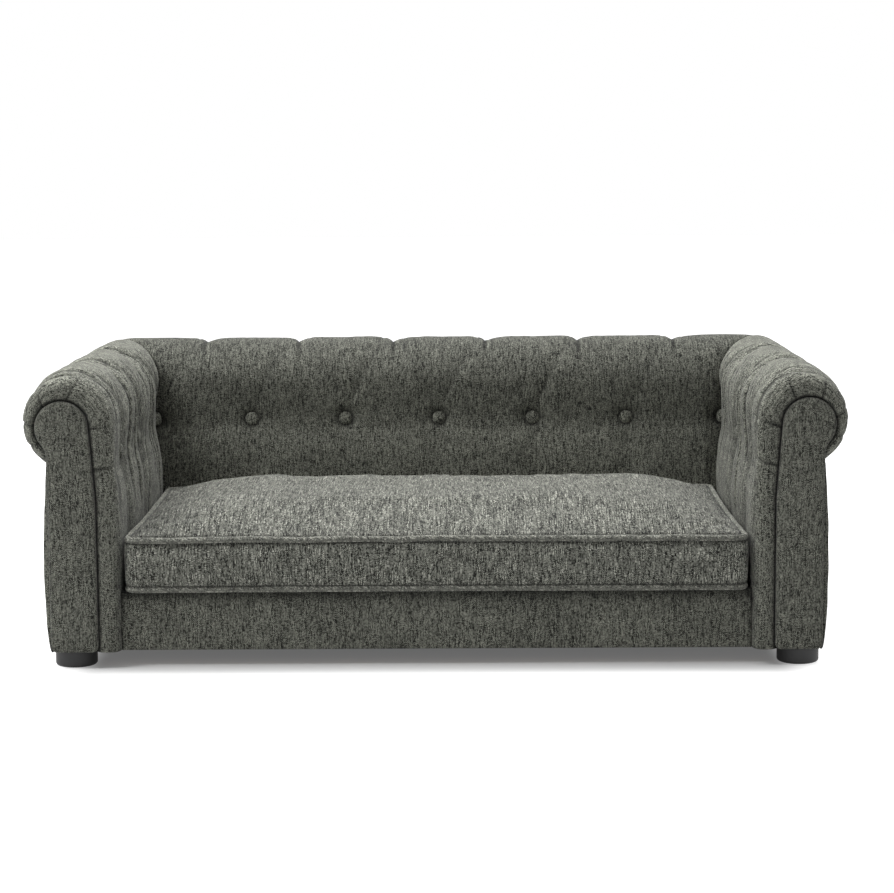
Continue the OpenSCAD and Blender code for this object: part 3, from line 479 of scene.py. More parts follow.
def tuft_depth(u, s, knots, pleats, seed, lay=1, strength=1.0, drapes=0, channel=0.0035, edge=0.0009):
    """How far the cloth lies below the smooth section: a swell below the buttons, a draw-in along
    them, what the buttons and the pleats draw in, a soft hollow beside each main fold, and some
    unevenness. All of it dies away at the tack line."""
    rng = np.random.default_rng(seed)
    down = np.clip(1 - s / (DECK_Z - BUTTON_Z), 0, 1)
    full = (SWELL + 0.12 * channel) * np.sin(np.pi * np.clip(down / 0.92, 0, 1) ** 1.6)
    swell = np.where(s > 0, 0, -full)
    pits, drawn, fine, to_fold = button_folds(u, s, knots, pleats, rng, strength, channel)
    across, hanging, to_pleat = pleat_folds(u, s, pleats, rng, lay, drapes, edge)
    beside = bell(np.minimum(to_fold, to_pleat), HOLLOW_REACH)
    hollow = HOLLOW * beside * ease(s, 0.0, 0.03) * strength
    uneven = 0.0008 * waves(u, s, seed + 5, 0.085) + 0.0003 * waves(u, s, seed + 6, 0.026)
    body = np.maximum(np.maximum(pits, drawn), across)
    depth = swell + DRAW_IN * bell(s, DRAW_REACH) + body + fine
    depth = depth + hanging * np.clip(1 - pits / 0.003, 0, 1) + hollow
    depth = depth + uneven * np.clip(1 - pits / 0.004, 0, 1)
    return np.minimum(depth * (1 - 0.85 * ease(s, TACK_S - 0.014, TACK_S - 0.002)), DEEPEST)


def with_mitre(depth, away, s, part):
    """Depth with the sewn fold beside a mitre seam: from the corner button up over the roll, fading
    below the button."""
    along = np.where(s > 0, ease(s, 0.0, 0.03) * 0.6 + 0.4, np.clip(1 + s / 0.10, 0, 1))
    fold = MITRE_DEPTH * np.exp(-np.abs(away) / MITRE_WIDTH) * along
    return np.minimum(depth + np.where(part > 0, fold, 0), DEEPEST)


def crest_of(depth, u, s, knots, pleats, cavity_shading, top):
    """Painted light and shade for a pad's cloth: about 1 on the swells, more on the edges of folds and
    beside the pleats' slits as a painted highlight, and down to 0 deep in the folds, round the buttons
    and in the slits of the pleats over the roll as painted shade; top is added over the roll, painted
    light where it is above 0 and painted shade where it is below."""
    slit = np.zeros(depth.shape)
    for c in pleats:
        x = from_pleat(u, s, c)
        # painted shade in the slit of each pleat over the roll, with a painted highlight beside it
        pair = 1.35 * bell(x, SLIT_WIDTH) - 0.45 * bell(x - SLIT_HIGHLIGHT_AWAY, SLIT_HIGHLIGHT_WIDTH)
        slit += pair * ease(s, CROWN_S * 0.55, CROWN_S * 0.85)
    cavity = (depth - averaged(depth, 3)) / 0.001
    # painted shade in a ring round each button's pit
    ring = sum(bell(np.hypot(u - b, s) - BUTTON_R, RING_WIDTH) for b in knots)
    # painted shade deeper in the folds and in hollows, painted highlight on the ridges
    depth_shading = np.clip(1.05 - np.clip(depth - 0.0008, 0, 1) / 0.022 - cavity_shading * cavity, -0.5, 1.5)
    # top: painted light over the roll where above 0, painted shade where below
    return depth_shading + top * ease(s, 0.3 * FACE_S, 0.8 * CROWN_S) - slit - 0.8 * ring


def core_path(foot_z):
    """Inside of a pad, from the tack line round the foam sleeve and down the inner board."""
    turn = np.radians(np.linspace(TACK_ANGLE, 150, 8))
    w = np.concatenate([ROLL_W + (CORE_R + CORE_FIT) * np.cos(turn), [CORE_W - CORE_FIT] * 2])
    z = np.concatenate([ROLL_Z + (CORE_R + CORE_FIT) * np.sin(turn), [BUTTON_Z, foot_z]])
    return w[None, :], z[None, :]


def inside_map(s, count):
    """Places on the cloth round a pad's ring: along the section, then along its inside."""
    return joined(s, np.linspace(TACK_S, TACK_S + 0.3, count)[None, :])


def back_pad():
    """The back's pad: rings across the width, each the tufted section and the inside path, leaning
    into the mitres at both ends, where a flat face closes them."""
    s = section_steps(PAD_FOOT_Z)
    half = INNER_X - MITRE_LEAD
    inner = stations(-half, half, 0.0026, BACK_PLEATS)
    lean = np.linspace(0, 1, 24)[1:]
    side = half + (INNER_X + CORNER_PULL - half) * lean
    u = np.concatenate([-side[::-1], inner, side])[:, None]
    part = np.concatenate([lean[::-1], np.zeros(len(inner)), lean])[:, None]
    w, z, out_w, out_z = section(s)
    depth = tuft_depth(u, s, BACK_KNOTS, BACK_PLEATS, 21, strength=0.34, edge=0.0055)
    depth = with_mitre(depth, (1 - part) * (INNER_X + w - half), s, part)
    core_w, core_z = core_path(PAD_FOOT_Z)
    w, z = joined(w - out_w * depth, core_w), joined(z - out_z * depth, core_z)
    x = np.where(part > 0, np.sign(u) * (half + (INNER_X + w - SEAT_GAP - half) * part), u)
    points, uv = at(x, INNER_Y + w, z), at(x, inside_map(s, core_w.size))
    # Painted light and shade on the back's cloth, its ridge over the roll darkened as painted shade
    crest = joined(crest_of(depth, u, s, BACK_KNOTS, BACK_PLEATS, 0.28, -0.55), 0 * core_w)
    return loft("back_tufted_pad", points, uv, crest, "capped")


def facing_inner_edge(z):
    """Inner edge of a facing at height z, up to where it meets the round head: upright to the knee,
    then straight to the head. Returns it with the direction of the meeting point from the head."""
    knee = np.array([FACING_IN, KNEE_Z])
    reach = np.array([HEAD_W, HEAD_Z]) - knee
    meet = math.atan2(reach[1], reach[0]) + math.asin(HEAD_R / np.linalg.norm(reach)) + math.pi / 2
    top = np.array([HEAD_W + HEAD_R * math.cos(meet), HEAD_Z + HEAD_R * math.sin(meet)])
    t = np.clip((z - KNEE_Z) / (top[1] - KNEE_Z), 0, 1)
    return FACING_IN + (top[0] - FACING_IN) * t, meet


def lip_point(s):
    """The line under the facing's edge that belongs to the section at s."""
    z = section(s)[1]
    edge, meet = facing_inner_edge(z)
    turn = meet + (math.radians(TACK_ANGLE) - meet) * np.clip((s - FACE_S) / (TACK_S - FACE_S), 0, 1)
    r = HEAD_R - LAP
    on_head = s > FACE_S
    lift = (HEAD_Z + r * math.sin(meet) - ROLL_Z) * ease(s, FACE_S - 0.03, FACE_S)
    return (np.where(on_head, HEAD_W + r * np.cos(turn), edge + LAP),
            np.where(on_head, HEAD_Z + r * np.sin(turn), z + lift))


def turn_to_s(degrees):
    """Place along the section of a direction from the roll's centre."""
    if degrees > 90:
        return FACE_S + QUARTER_S * (180 - degrees) / 90
    return CROWN_S + ROLL_R * math.radians(90 - degrees)


def band_gathers(s, out, side):
    """Depth of the gathers across an arm's front band: four round the roll and two on the face,
    which are deep, and fourteen faint ones, each a laid fold that wanders as it runs out."""
    turns = (61, 10, -26, 117) if side > 0 else (46, 2, -31, 101)
    main = [turn_to_s(t) for t in turns] + [0.045, -0.008]
    rng = np.random.default_rng(8 + side)
    gather = np.zeros(out.shape)
    for k, line in enumerate(main + list(rng.uniform(-0.05, TACK_S - 0.02, 14))):
        deep = rng.uniform(*(GATHER_DEPTHS if k < len(main) else FAINT_DEPTHS))
        place = line + 0.012 * (out - 0.4) * rng.uniform(-1, 1)
        fold = laid_fold((s - place) * rng.choice([-1, 1]), *GATHER_SIDES)
        gather = np.maximum(gather, fold * deep)
    return gather


def arm_pad(side):
    """An arm's pad, side 1 for the right and -1 for the left. Rings along the arm: the front ones
    swing from under the facing out to the full section, with gathers across the band; the last
    ones lean into the mitre."""
    s = section_steps(BAND_FOOT_Z)
    w, z, out_w, out_z = section(s)
    lip_w, lip_z = lip_point(s)
    turn = np.linspace(-0.66, math.pi / 2, 26)[:, None]
    on_roll = ease(s, FACE_S * 0.3, FACE_S + 0.05)
    reach_in, power = BAND_IN + BAND_IN_ROLL * on_roll, 0.72 + 0.28 * on_roll
    front_u = reach_in - (reach_in - BAND_LIP) * np.abs(np.cos(turn)) ** power
    swing = np.sign(np.sin(turn)) * np.abs(np.sin(turn)) ** power
    share = (swing - swing[:1]) / (1 - swing[:1])
    last = ARM_END - MITRE_LEAD
    spaced = stations(BAND_END + 0.0015, last, 0.0026, ARM_PLEATS, 0.0006, 0.005)
    middle_u = np.concatenate([[BAND_END], spaced])[:, None]
    lean = np.linspace(0, 1, 24)[1:, None]
    u = joined(front_u, middle_u, last + (ARM_END + CORNER_PULL - last) * lean, axis=0)
    part = np.concatenate([0 * turn, 0 * middle_u, lean])
    out = joined(share, 1 + 0 * middle_u, 1 + 0 * lean, axis=0)
    depth = tuft_depth(u, s, ARM_KNOTS, ARM_PLEATS, 43 if side > 0 else 67, -1, 1.15, 5, 0.0095)
    depth = with_mitre(depth * ease(u, 0.008, 0.030), (1 - part) * (ARM_END + w - last), s, part)
    gather = band_gathers(s, out, side)
    in_front = ease(out, 0.02, 0.25) * (1 - ease(u, 0.030, 0.058))
    groove = BAND_GROOVE * fade(np.hypot(w - lip_w, z - lip_z) * out - LAP, 0.0034) * (out < 1)
    tucked = gather * in_front * out
    pad_w = lip_w + (w - out_w * depth - lip_w) * out - out_w * tucked
    pad_z = lip_z + (z - out_z * depth - lip_z) * out - out_z * tucked
    y = FRONT_Y + u + groove + gather * in_front * (1 - out) ** 0.5
    along = u[:, :1]
    foot_z = np.where(along < BAND_END + 0.001, BAND_FOOT_Z, PAD_FOOT_Z)
    pad_z = np.where(s < 0, np.maximum(pad_z, foot_z), pad_z)

    def mitred(w, y):
        """Places along the arm, in the last rings carried out into the mitre."""
        return np.where(part > 0, FRONT_Y + last + (ARM_END + w - SEAT_GAP - last) * part, y)

    core_w, core_z = core_path(0)
    pick = np.linspace(s.size - 1, 0, core_w.size).astype(int)
    open_up = ease(along, 0.006, 0.030)
    core_z = np.maximum(pad_z[:1, pick] * (1 - open_up) + np.maximum(core_z, foot_z) * open_up, foot_z)
    core_w = pad_w[:1, pick] * (1 - open_up) + core_w * open_up
    core_y = mitred(core_w, np.maximum(FRONT_Y + along, FRONT_Y + FACING_T + 0.002))
    points = at(side * (INNER_X + joined(pad_w, core_w)), joined(mitred(pad_w, y), core_y),
                joined(pad_z, core_z))
    steps = np.linalg.norm(np.diff(points, axis=0), axis=-1)
    run = joined(np.zeros((1, 1)), np.cumsum(steps, axis=0), axis=0)
    run = run - run[len(turn):len(turn) + 1] + BAND_END
    run[:, s.size:] = run[:, :1]
    # Painted light and shade on the arm's cloth, its roll lightened as painted light, with painted shade in
    # the groove beside the facing and in the band's gathers
    crest = crest_of(depth, u, s, ARM_KNOTS, ARM_PLEATS, 1.15, 0.30) - 1.3 * ease(groove, 0.0008, 0.0042)
    crest = crest - 1.5 * ease(gather * in_front * (1 - out) ** 0.4, 0.0004, 0.0017)
    name = "arm_tufted_pad_right" if side > 0 else "arm_tufted_pad_left"
    uv = at(run, inside_map(s, core_w.shape[1]))
    return loft(name, points, uv, joined(crest, 0 * core_w), "capped")


# Facings

def facing_outline():
    """Outline of a facing from its inner foot up, round the head and down the neck and outer edge."""
    meet = facing_inner_edge(KNEE_Z)[1]
    neck_w = NECK_W + NECK_R
    drop = math.sqrt((HEAD_R + NECK_R) ** 2 - (neck_w - HEAD_W) ** 2)
    lean = math.atan2(-drop, neck_w - HEAD_W)
    corner_z = BAND_FOOT_Z + FACING_CORNER

    def arc(w, z, r, first, last, count):
        """Points round a centre, from one angle to another."""
        t = np.linspace(first, last, count)
        return at(w + r * np.cos(t), z + r * np.sin(t))

    def line(p, q, step=0.003):
        """Points about a step apart between two ends, both left out."""
        t = np.linspace(0, 1, max(2, int(math.dist(p, q) / step)), endpoint=False)[1:, None]
        return np.array(p) * (1 - t) + np.array(q) * t

    knee = (FACING_IN, KNEE_Z)
    foot_in = arc(FACING_IN + FACING_CORNER, corner_z, FACING_CORNER, 1.5 * math.pi, math.pi, 8)
    head = arc(HEAD_W, HEAD_Z, HEAD_R, meet, lean, 64)
    neck = arc(neck_w, HEAD_Z - drop, NECK_R, math.pi + lean, math.pi, 20)[1:]
    foot_out = arc(NECK_W - FACING_CORNER, corner_z, FACING_CORNER, 2 * math.pi, 1.5 * math.pi, 8)
    return np.concatenate([foot_in, line(foot_in[-1], knee), [knee], line(knee, head[0]), head, neck,
                           line(neck[-1], foot_out[0]), foot_out])


def arm_facing(side):
    """The stuffed plate on an arm's front: rings from the spine out to the outline, over a rounded
    edge and down to the plate's back, closed there by rings drawn in to the spine again. The front
    swells a little, and the cloth pulls slightly at the edge."""
    outline = facing_outline()
    spine = at(np.interp(outline[:, 1], [BASE_Z, KNEE_Z, HEAD_Z], [0.059, 0.060, HEAD_W]),
               np.clip(outline[:, 1], BASE_Z + 0.03, HEAD_Z))
    reach = np.linalg.norm(outline - spine, axis=1)
    t = np.linspace(0, 1, 18)[:, None]
    turn = np.linspace(math.pi / 2, 0, 7)[1:, None]
    shares = np.concatenate([t * (reach - FACING_EDGE) / reach,
                             (reach - FACING_EDGE + FACING_EDGE * np.cos(turn)) / reach,
                             [reach / reach, (reach - 0.0012) / reach, 0 * reach]])
    back = FACING_T - 0.0004
    height = np.concatenate([-FACING_SWELL * (1 - t ** 3), FACING_EDGE * (1 - np.sin(turn)),
                             [[FACING_T - 0.0022], [back], [back]]])
    grid = spine + (outline - spine) * shares[..., None]
    row = np.arange(len(grid))[:, None]
    seed = 31 if side > 0 else 37
    ripple = np.where(row < len(t), 0.00035 * waves(grid[..., 0], grid[..., 1], seed, 0.05), 0)
    y = np.minimum(FRONT_Y + FACING_SWELL + height + ripple, FRONT_Y + FACING_T)
    wall = 0.001 * np.clip(row - (len(t) - 1), 0, None)
    spread = grid + (outline - spine) / reach[:, None] * wall[..., None]
    name = "arm_front_right" if side > 0 else "arm_front_left"
    # crest: painted shade on the rounded edge, darker as it turns back into the seam
    return loft(name, at(side * (INNER_X + grid[..., 0]), y, grid[..., 1]),
                at(side * spread[..., 0], spread[..., 1]), np.clip(1 - height / 0.006, 0, 1))


# Panels

def outer_panel(name, ends, place, seed):
    """A stretched cloth panel outside a wall: the section bows out a little between the foot and
    the tack line, with slack ripples along it, and its top edge laps up under the roll; ends gives
    the two ends' places for a distance from the wall, and place turns (distance, along, height)
    into a point."""
    t = np.linspace(0, 1, 58) ** 1.25
    w = PANEL_FOOT_W + (PANEL_TOP_W - PANEL_FOOT_W) * t + PANEL_BULGE * np.sin(math.pi * t)
    w = w - PANEL_DIP * np.exp(-t / 0.035)
    z = BASE_Z + (PANEL_TOP_Z - BASE_Z) * t
    hem = np.radians(np.linspace(-90, 0, 6))[:-1]
    w_in, w_top, lap = PANEL_IN_W + PANEL_INSET, PANEL_TOP_W - PANEL_INSET, PANEL_TOP_Z + PANEL_LAP
    w = np.concatenate([[w_in], w[0] - HEM_R + HEM_R * np.cos(hem), w[1:], [w_top, w_top, w_in]])[None, :]
    z = np.concatenate([[BASE_Z], BASE_Z + HEM_R + HEM_R * np.sin(hem), z[1:],
                        [PANEL_TOP_Z + 0.0006, lap, lap]])[None, :]
    lo, hi = ends(w)
    run = lo + (hi - lo) * np.linspace(0, 1, 170)[:, None]
    ripple = 0.0008 * waves(run, z * 0.35, seed, 0.11) + 0.0004 * waves(run, z, seed + 1, 0.05)
    pull = 0.0006 * np.sin(run * 2 * math.pi / 0.034) * np.exp(-(PANEL_TOP_Z - z) / 0.018)
    free = np.sin(math.pi * np.clip((z - BASE_Z) / (PANEL_TOP_Z - BASE_Z), 0.03, 0.97)) ** 0.3
    free = free * (z < PANEL_TOP_Z)
    free[:, [0, -1]] = 0
    slack = (ripple + pull - 0.0004) * free
    # Painted shade in the ripples' hollows and under the roll along the top, painted highlight on the swells
    crest = np.clip(0.97 + slack / 0.005, 0, 1.1) - 0.7 * fade(PANEL_TOP_Z - z, 0.006)
    return loft(name, place(w + slack, run, z), at(run + w, z), crest, "capped")


def arm_panel(side):
    """The cloth outside an arm, from behind the facing to the mitre at the rear corner."""
    name = "outer_arm_cloth_right" if side > 0 else "outer_arm_cloth_left"
    return outer_panel(name, lambda w: (FRONT_Y + FACING_T + FACING_GAP, INNER_Y + w - SEAT_GAP),
                       lambda w, run, z: at(side * (INNER_X + w), run, z), 51 if side > 0 else 53)


def back_panel():
    """The cloth outside the back, from mitre to mitre."""
    return outer_panel("outer_back_cloth", lambda w: (-(INNER_X + w - SEAT_GAP), INNER_X + w - SEAT_GAP),
                       lambda w, run, z: at(run, INNER_Y + w, z), 57)


def rail_panel():
    """The cloth-covered front rail: a flat face with rounded long edges and a slight slackness."""
    lo, hi = (np.array(c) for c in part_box("front_rail_panel"))
    r = RAIL_EDGE
    turn = np.radians(np.linspace(-90, 0, 6))
    edge_y = lo[1] + r - r * np.cos(turn)
    face_z = np.linspace(lo[2] + r, hi[2] - r, 24)[1:-1]
    ring_y = np.concatenate([[hi[1]], edge_y, np.full(22, lo[1]), edge_y[::-1], [hi[1]]])[None, :]
    z = np.concatenate([[lo[2]], lo[2] + r + r * np.sin(turn), face_z,
                        (hi[2] - r - r * np.sin(turn))[::-1], [hi[2]]])[None, :]
    half = INNER_X - 0.0002
    x = stations(-half, half, 0.0040, (-INNER_X, INNER_X))[:, None]
    inner = np.sin(math.pi * np.clip((z - lo[2]) / (hi[2] - lo[2]), 0, 1))
    slack = 0.0007 * waves(x, z * 0.4, 61, 0.12) + 0.0004 * waves(x, z, 62, 0.045)
    y = ring_y + np.where(ring_y < hi[1] - 0.001, slack * inner ** 0.5 - 0.0012 * inner, 0)
    # Painted shadow under the cushion along the top edge and painted shade at both ends by the arms; painted
    # shade in the slack's hollows, painted highlight on its swells
    tucked = 1.2 * bell(hi[2] - z, 0.0125) + np.exp(-(INNER_X - np.abs(x)) / 0.0035)
    crest = np.clip(1.18 - slack / 0.003, 0, 1.3) - 1.1 * tucked
    return loft("rail_cloth", at(x, y, z), at(x, z), crest, "capped")


# Buttons

def button(name, centre, way):
    """A covered button: a dome turned about its axis, with the cloth drawn round a soft rim to the
    back, slightly puckered there."""
    profile_r = np.array([0, .2, .4, .58, .74, .86, .94, .985, 1.0, .985, .93, .80, .5, 0]) * BUTTON_R
    height = np.array([1, .985, .94, .87, .77, .65, .52, .38, .24, .10, -.02, -.10, -.14, -.14]) * BUTTON_H
    turn = np.linspace(0, 2 * math.pi, 40, endpoint=False)[None, :]
    rim = (np.arange(len(profile_r)) > 6)[:, None]
    r = profile_r[:, None] * (1 + 0.012 * np.sin(turn * 11) * rim)
    way = np.array(way) / np.linalg.norm(way)
    across, up = np.array([-way[1], way[0], 0.0]), np.array([0.0, 0.0, 1.0])
    a, b = r * np.cos(turn), r * np.sin(turn)
    points = np.array(centre) + a[..., None] * across + b[..., None] * up + height[:, None, None] * way
    # Painted highlight on the dome's top and painted shade round the rim and underneath
    crest = np.clip(0.35 + height[:, None] / 0.0047, 0, 1.4)
    return loft(name, points, at(a + centre[0], b + centre[1] + centre[2]), crest)


def buttons():
    """Every button, seated in its pit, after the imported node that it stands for."""
    for k, x in enumerate(BACK_KNOTS[1:-1]):
        yield "back_buttons", button(f"back_button_{k}", (x, INNER_Y + BUTTON_BACK, BUTTON_Z), (0, -1, 0))
    for side, word in SIDES:
        for k, d in enumerate(ARM_KNOTS[:-1]):
            centre = (side * (INNER_X + BUTTON_BACK), FRONT_Y + d, BUTTON_Z)
            yield f"arm_buttons_{word}", button(f"arm_button_{word}_{k}", centre, (-side, 0, 0))
    for side, word in SIDES:
        centre = (side * (INNER_X + CORNER_BACK), INNER_Y + CORNER_BACK, BUTTON_Z)
        yield "corner_buttons", button(f"corner_button_{word}", centre, (-side, -1, 0))


# The seat cushion

def bow(across, along, half_across, half_along):
    """How far a side of the cushion is drawn in: most at its middle, and only near that side."""
    return (np.sign(across) * CUSHION_BOW * np.clip(1 - (along / half_along) ** 2, 0, 1)
            * (np.abs(across) / half_across) ** 6)


def rounded(x, y, hx, hy, r):
    """Rounds the corners of a rectangle's grid: in each corner square of side r the square is
    carried onto a quarter disc, and the sides are drawn in at their middle."""
    a = np.clip(np.abs(x) - (hx - r), 0, None)
    b = np.clip(np.abs(y) - (hy - r), 0, None)
    nx = np.sign(x) * (np.minimum(np.abs(x), hx - r) + a * np.sqrt(1 - b ** 2 / (2 * r * r)))
    ny = np.sign(y) * (np.minimum(np.abs(y), hy - r) + b * np.sqrt(1 - a ** 2 / (2 * r * r)))
    return nx - bow(x, y, hx, hy), ny - bow(y, x, hy, hx)


def crown(x, y, hx, hy):
    """Rise of the cushion's top: quick near the seams, nearly flat in the middle."""
    def lift(gap):
        """Share of the full rise at a distance from a seam."""
        return 1 - (1 - np.clip(gap / hy, 0, 1)) ** 3.6
    return CROWN_H * lift(hx - np.abs(x)) * lift(hy - np.abs(y))


def cushion_cover():
    """The cushion's cover, closed: an even grid for the top, another for the underside, and the
    boxing between their edges, ready to be filled."""
    nx, ny = 144, 84
    seam = WELT_D + 0.0002
    hx, hy = CUSHION_X - seam, CUSHION_HY - seam
    x, y = np.meshgrid(np.linspace(-hx, hx, nx), np.linspace(-hy, hy, ny), indexing="ij")
    rx, ry = rounded(x, y, hx, hy, COVER_CORNER)
    top = at(rx, ry + CUSHION_CY, CUSHION_Z1 - 0.0004 + CROWN_START_SHARE * crown(x, y, hx, hy))
    bottom = at(rx, ry + CUSHION_CY, CUSHION_Z0)
    index = np.arange(nx * ny).reshape(nx, ny)
    edge = np.concatenate([index[:-1, 0], index[-1, :-1], index[:0:-1, -1], index[0, :0:-1]])
    low, high = CUSHION_Z0 + WELT_D + 0.0003, CUSHION_Z1 - WELT_D - 0.0003
    near_seam = np.array([0, 0.0015, 0.003, 0.006, 0.009])
    near_zip = np.array([0.0172, POCKET_HALF, 0.012, 0.006])
    levels = np.concatenate([[CUSHION_Z0 + 0.004], low + near_seam, POCKET_Z - near_zip, [POCKET_Z],
                             (POCKET_Z + near_zip)[::-1], (high - near_seam)[::-1], [CUSHION_Z1 - 0.004]])
    sides = []
    for level in levels:
        inset = BOXING_INSET if low - 1e-6 < level < high + 1e-6 else seam - 0.0006
        wide, deep = CUSHION_X - inset, CUSHION_HY - inset
        ex, ey = x.ravel()[edge] * (wide / hx), y.ravel()[edge] * (deep / hy)
        sx, sy = rounded(ex, ey, wide, deep, BOXING_CORNER)
        sides.append(at(sx, sy + CUSHION_CY, level))
    boxing = 2 * nx * ny + np.arange(len(levels) * len(edge)).reshape(len(levels), len(edge))
    rows = np.concatenate([[edge + nx * ny], boxing, [edge]])
    top_cells = cells(index)[:, [0, 3, 2, 1]]
    side_cells = cells(np.concatenate([rows, rows[:, :1]], axis=1))
    points = np.concatenate([np.reshape(part, (-1, 3)) for part in (top, bottom, sides)])
    return weld(make_object("seat_cushion_cover", points, points[:, :2], np.ones(len(points)),
                            np.concatenate([top_cells, top_cells[:, ::-1] + nx * ny, side_cells])))


def fill_cushion(obj):
    """Fills the cover: cloth with pressure inside, its seams and underside held, each point moving
    at most FILL_MOST. Returns the points."""
    points = read(obj.data.vertices, "co", 3).astype(float)
    y, z = points[:, 1], points[:, 2]
    held = (z < CUSHION_Z0 + WELT_D + 0.0005) | (np.abs(z - CUSHION_Z1 + 0.0022) < 0.0022)
    held |= (y > CUSHION_Y1 - 0.03) & (z < CUSHION_Z1)
    group = obj.vertex_groups.new(name="held")
    group.add([int(k) for k in np.nonzero(held)[0]], 1.0, "REPLACE")
    cloth = obj.modifiers.new("filling", "CLOTH")
    for key, value in FILLING.items():
        setattr(cloth.settings, key, value)
    cloth.settings.effector_weights.gravity = 0
    cloth.point_cache.frame_start = 1
    cloth.point_cache.frame_end = FILL_FRAMES
    for frame_number in range(1, FILL_FRAMES + 1):
        bpy.context.scene.frame_set(frame_number)
    filled = obj.evaluated_get(bpy.context.evaluated_depsgraph_get())
    moved = read(filled.to_mesh().vertices, "co", 3).astype(float) - points
    filled.to_mesh_clear()
    obj.modifiers.remove(cloth)
    bpy.context.scene.frame_set(1)
    length = np.linalg.norm(moved, axis=1, keepdims=True)
    points = points + moved * np.minimum(1, FILL_MOST / np.maximum(length, 1e-9))
    obj.vertex_groups.clear()
    return points


def finish_cushion(obj, points):
    """After the filling: gathers along the seams, soft unevenness, the zip's recess in the rear
    boxing, and places on the cloth by side: flat ones on top and below, length and height on the
    boxing."""
    x, y, z = points.T
    gap_x, gap_y = CUSHION_X - WELT_D - np.abs(x), CUSHION_HY - WELT_D - np.abs(y - CUSHION_CY)
    gap, at_end = np.minimum(gap_x, gap_y), gap_x < gap_y
    run = np.where(at_end, y, x)
    on_side = (z > CUSHION_Z0 + 0.003) & (z < CUSHION_Z1 - 0.0005)
    near = fade(gap, 0.016)
    pucker = PUCKER * np.sin(run * 2 * math.pi / PUCKER_PITCH + 3 * waves(run, 0 * run, 71, 0.3))
    pucker += UNEVEN_PUCKER * waves(run, 0 * run, 72, 0.034)
    soft = HEAVE * waves(x, y, 73, 0.16) + 0.0006 * waves(x, y, 74, 0.06)
    lift = pucker * near * ease(gap, 0, 0.006) + soft * ease(gap, 0.004, 0.05)
    z = z + np.where(z > CUSHION_Z1 - 0.001, lift, 0)
    level = np.clip((z - CUSHION_Z0) / (CUSHION_Z1 - CUSHION_Z0), 0, 1)
    bulge = np.where(on_side, np.sin(math.pi * level), 0)
    ruck = RUCK * np.sin(run * 2 * math.pi / RUCK_PITCH) * np.abs(2 * level - 1) ** 3
    dent = BOXING_DENT * waves(run, level * 0.05, 75, 0.06) + ruck
    x = x + np.where(at_end, np.sign(x), 0) * dent * bulge
    y = y + np.where(at_end, 0, np.sign(y - CUSHION_CY)) * dent * bulge
    on_zip = (np.abs(x) < POCKET_X) & (np.abs(z - POCKET_Z) < POCKET_HALF + 0.0002)
    y = np.where(on_zip & (y > CUSHION_Y1 - 0.02), POCKET_Y - SEAT_GAP, y)
    points = at(x, y, z)
    # Painted light and shade: the boxing lightened and the top darkened for how the light falls, painted
    # shade towards the boxing's edges and along the welts' seams, in the puckers' troughs and at the seams
    # on top, with a painted highlight on the puckers
    stitched = np.minimum(z - CUSHION_Z0, CUSHION_Z1 - z) - WELT_D
    crest = np.where(on_side, 1.30 - 0.2 * (1 - bulge) - 1.7 * fade(stitched, 0.0012),
                     0.80 - 0.8 * near * (0.5 - pucker / 0.002) - 0.8 * fade(gap, 0.0025))
    mesh = obj.data
    write(mesh.vertices, "co", points)
    write(mesh.attributes["crest"].data, "value", np.clip(crest, -0.6, 1.3))
    mesh.update()
    sizes = read(mesh.polygons, "loop_total", kind=np.int32)
    normals = np.repeat(read(mesh.polygons, "normal", 3), sizes, axis=0)
    px, py, pz = points[read(mesh.loops, "vertex_index", kind=np.int32)].T
    flat = np.abs(normals[:, 2]) > 0.6
    along_x = np.abs(normals[:, 1]) > np.abs(normals[:, 0])
    u = np.where(flat | along_x, px, py + 1.7)
    write(mesh.uv_layers["cloth"].data, "uv", at(u, np.where(flat, py * 0.5, pz + 0.9)))


def welt_path():
    """Outline of the cushion along the middle of a welt, from the right rear corner to the left."""
    hx, hy = CUSHION_X - WELT_D / 2, CUSHION_HY - WELT_D / 2
    r, step = WELT_CORNER, 0.004
    way_x, way_y = np.arange(-(hx - r), hx - r, step), np.arange(-(hy - r), hy - r, step)
    straights = at(way_x[::-1], hy), at(-hx, way_y[::-1]), at(way_x, -hy), at(hx, way_y)
    parts = []
    for k, ((cx, cy), straight) in enumerate(zip(((1, 1), (-1, 1), (-1, -1), (1, -1)), straights)):
        t = np.linspace(0, math.pi / 2, 10) + k * math.pi / 2
        parts += [at(cx * (hx - r) + r * np.cos(t), cy * (hy - r) + r * np.sin(t)), straight]
    path = np.concatenate(parts)
    path = path[np.linalg.norm(path - np.roll(path, 1, axis=0), axis=1) > 0.0008]
    path[:, 0] -= bow(path[:, 0], path[:, 1], hx, hy)
    path[:, 1] -= bow(path[:, 1], path[:, 0], hy, hx)
    return path


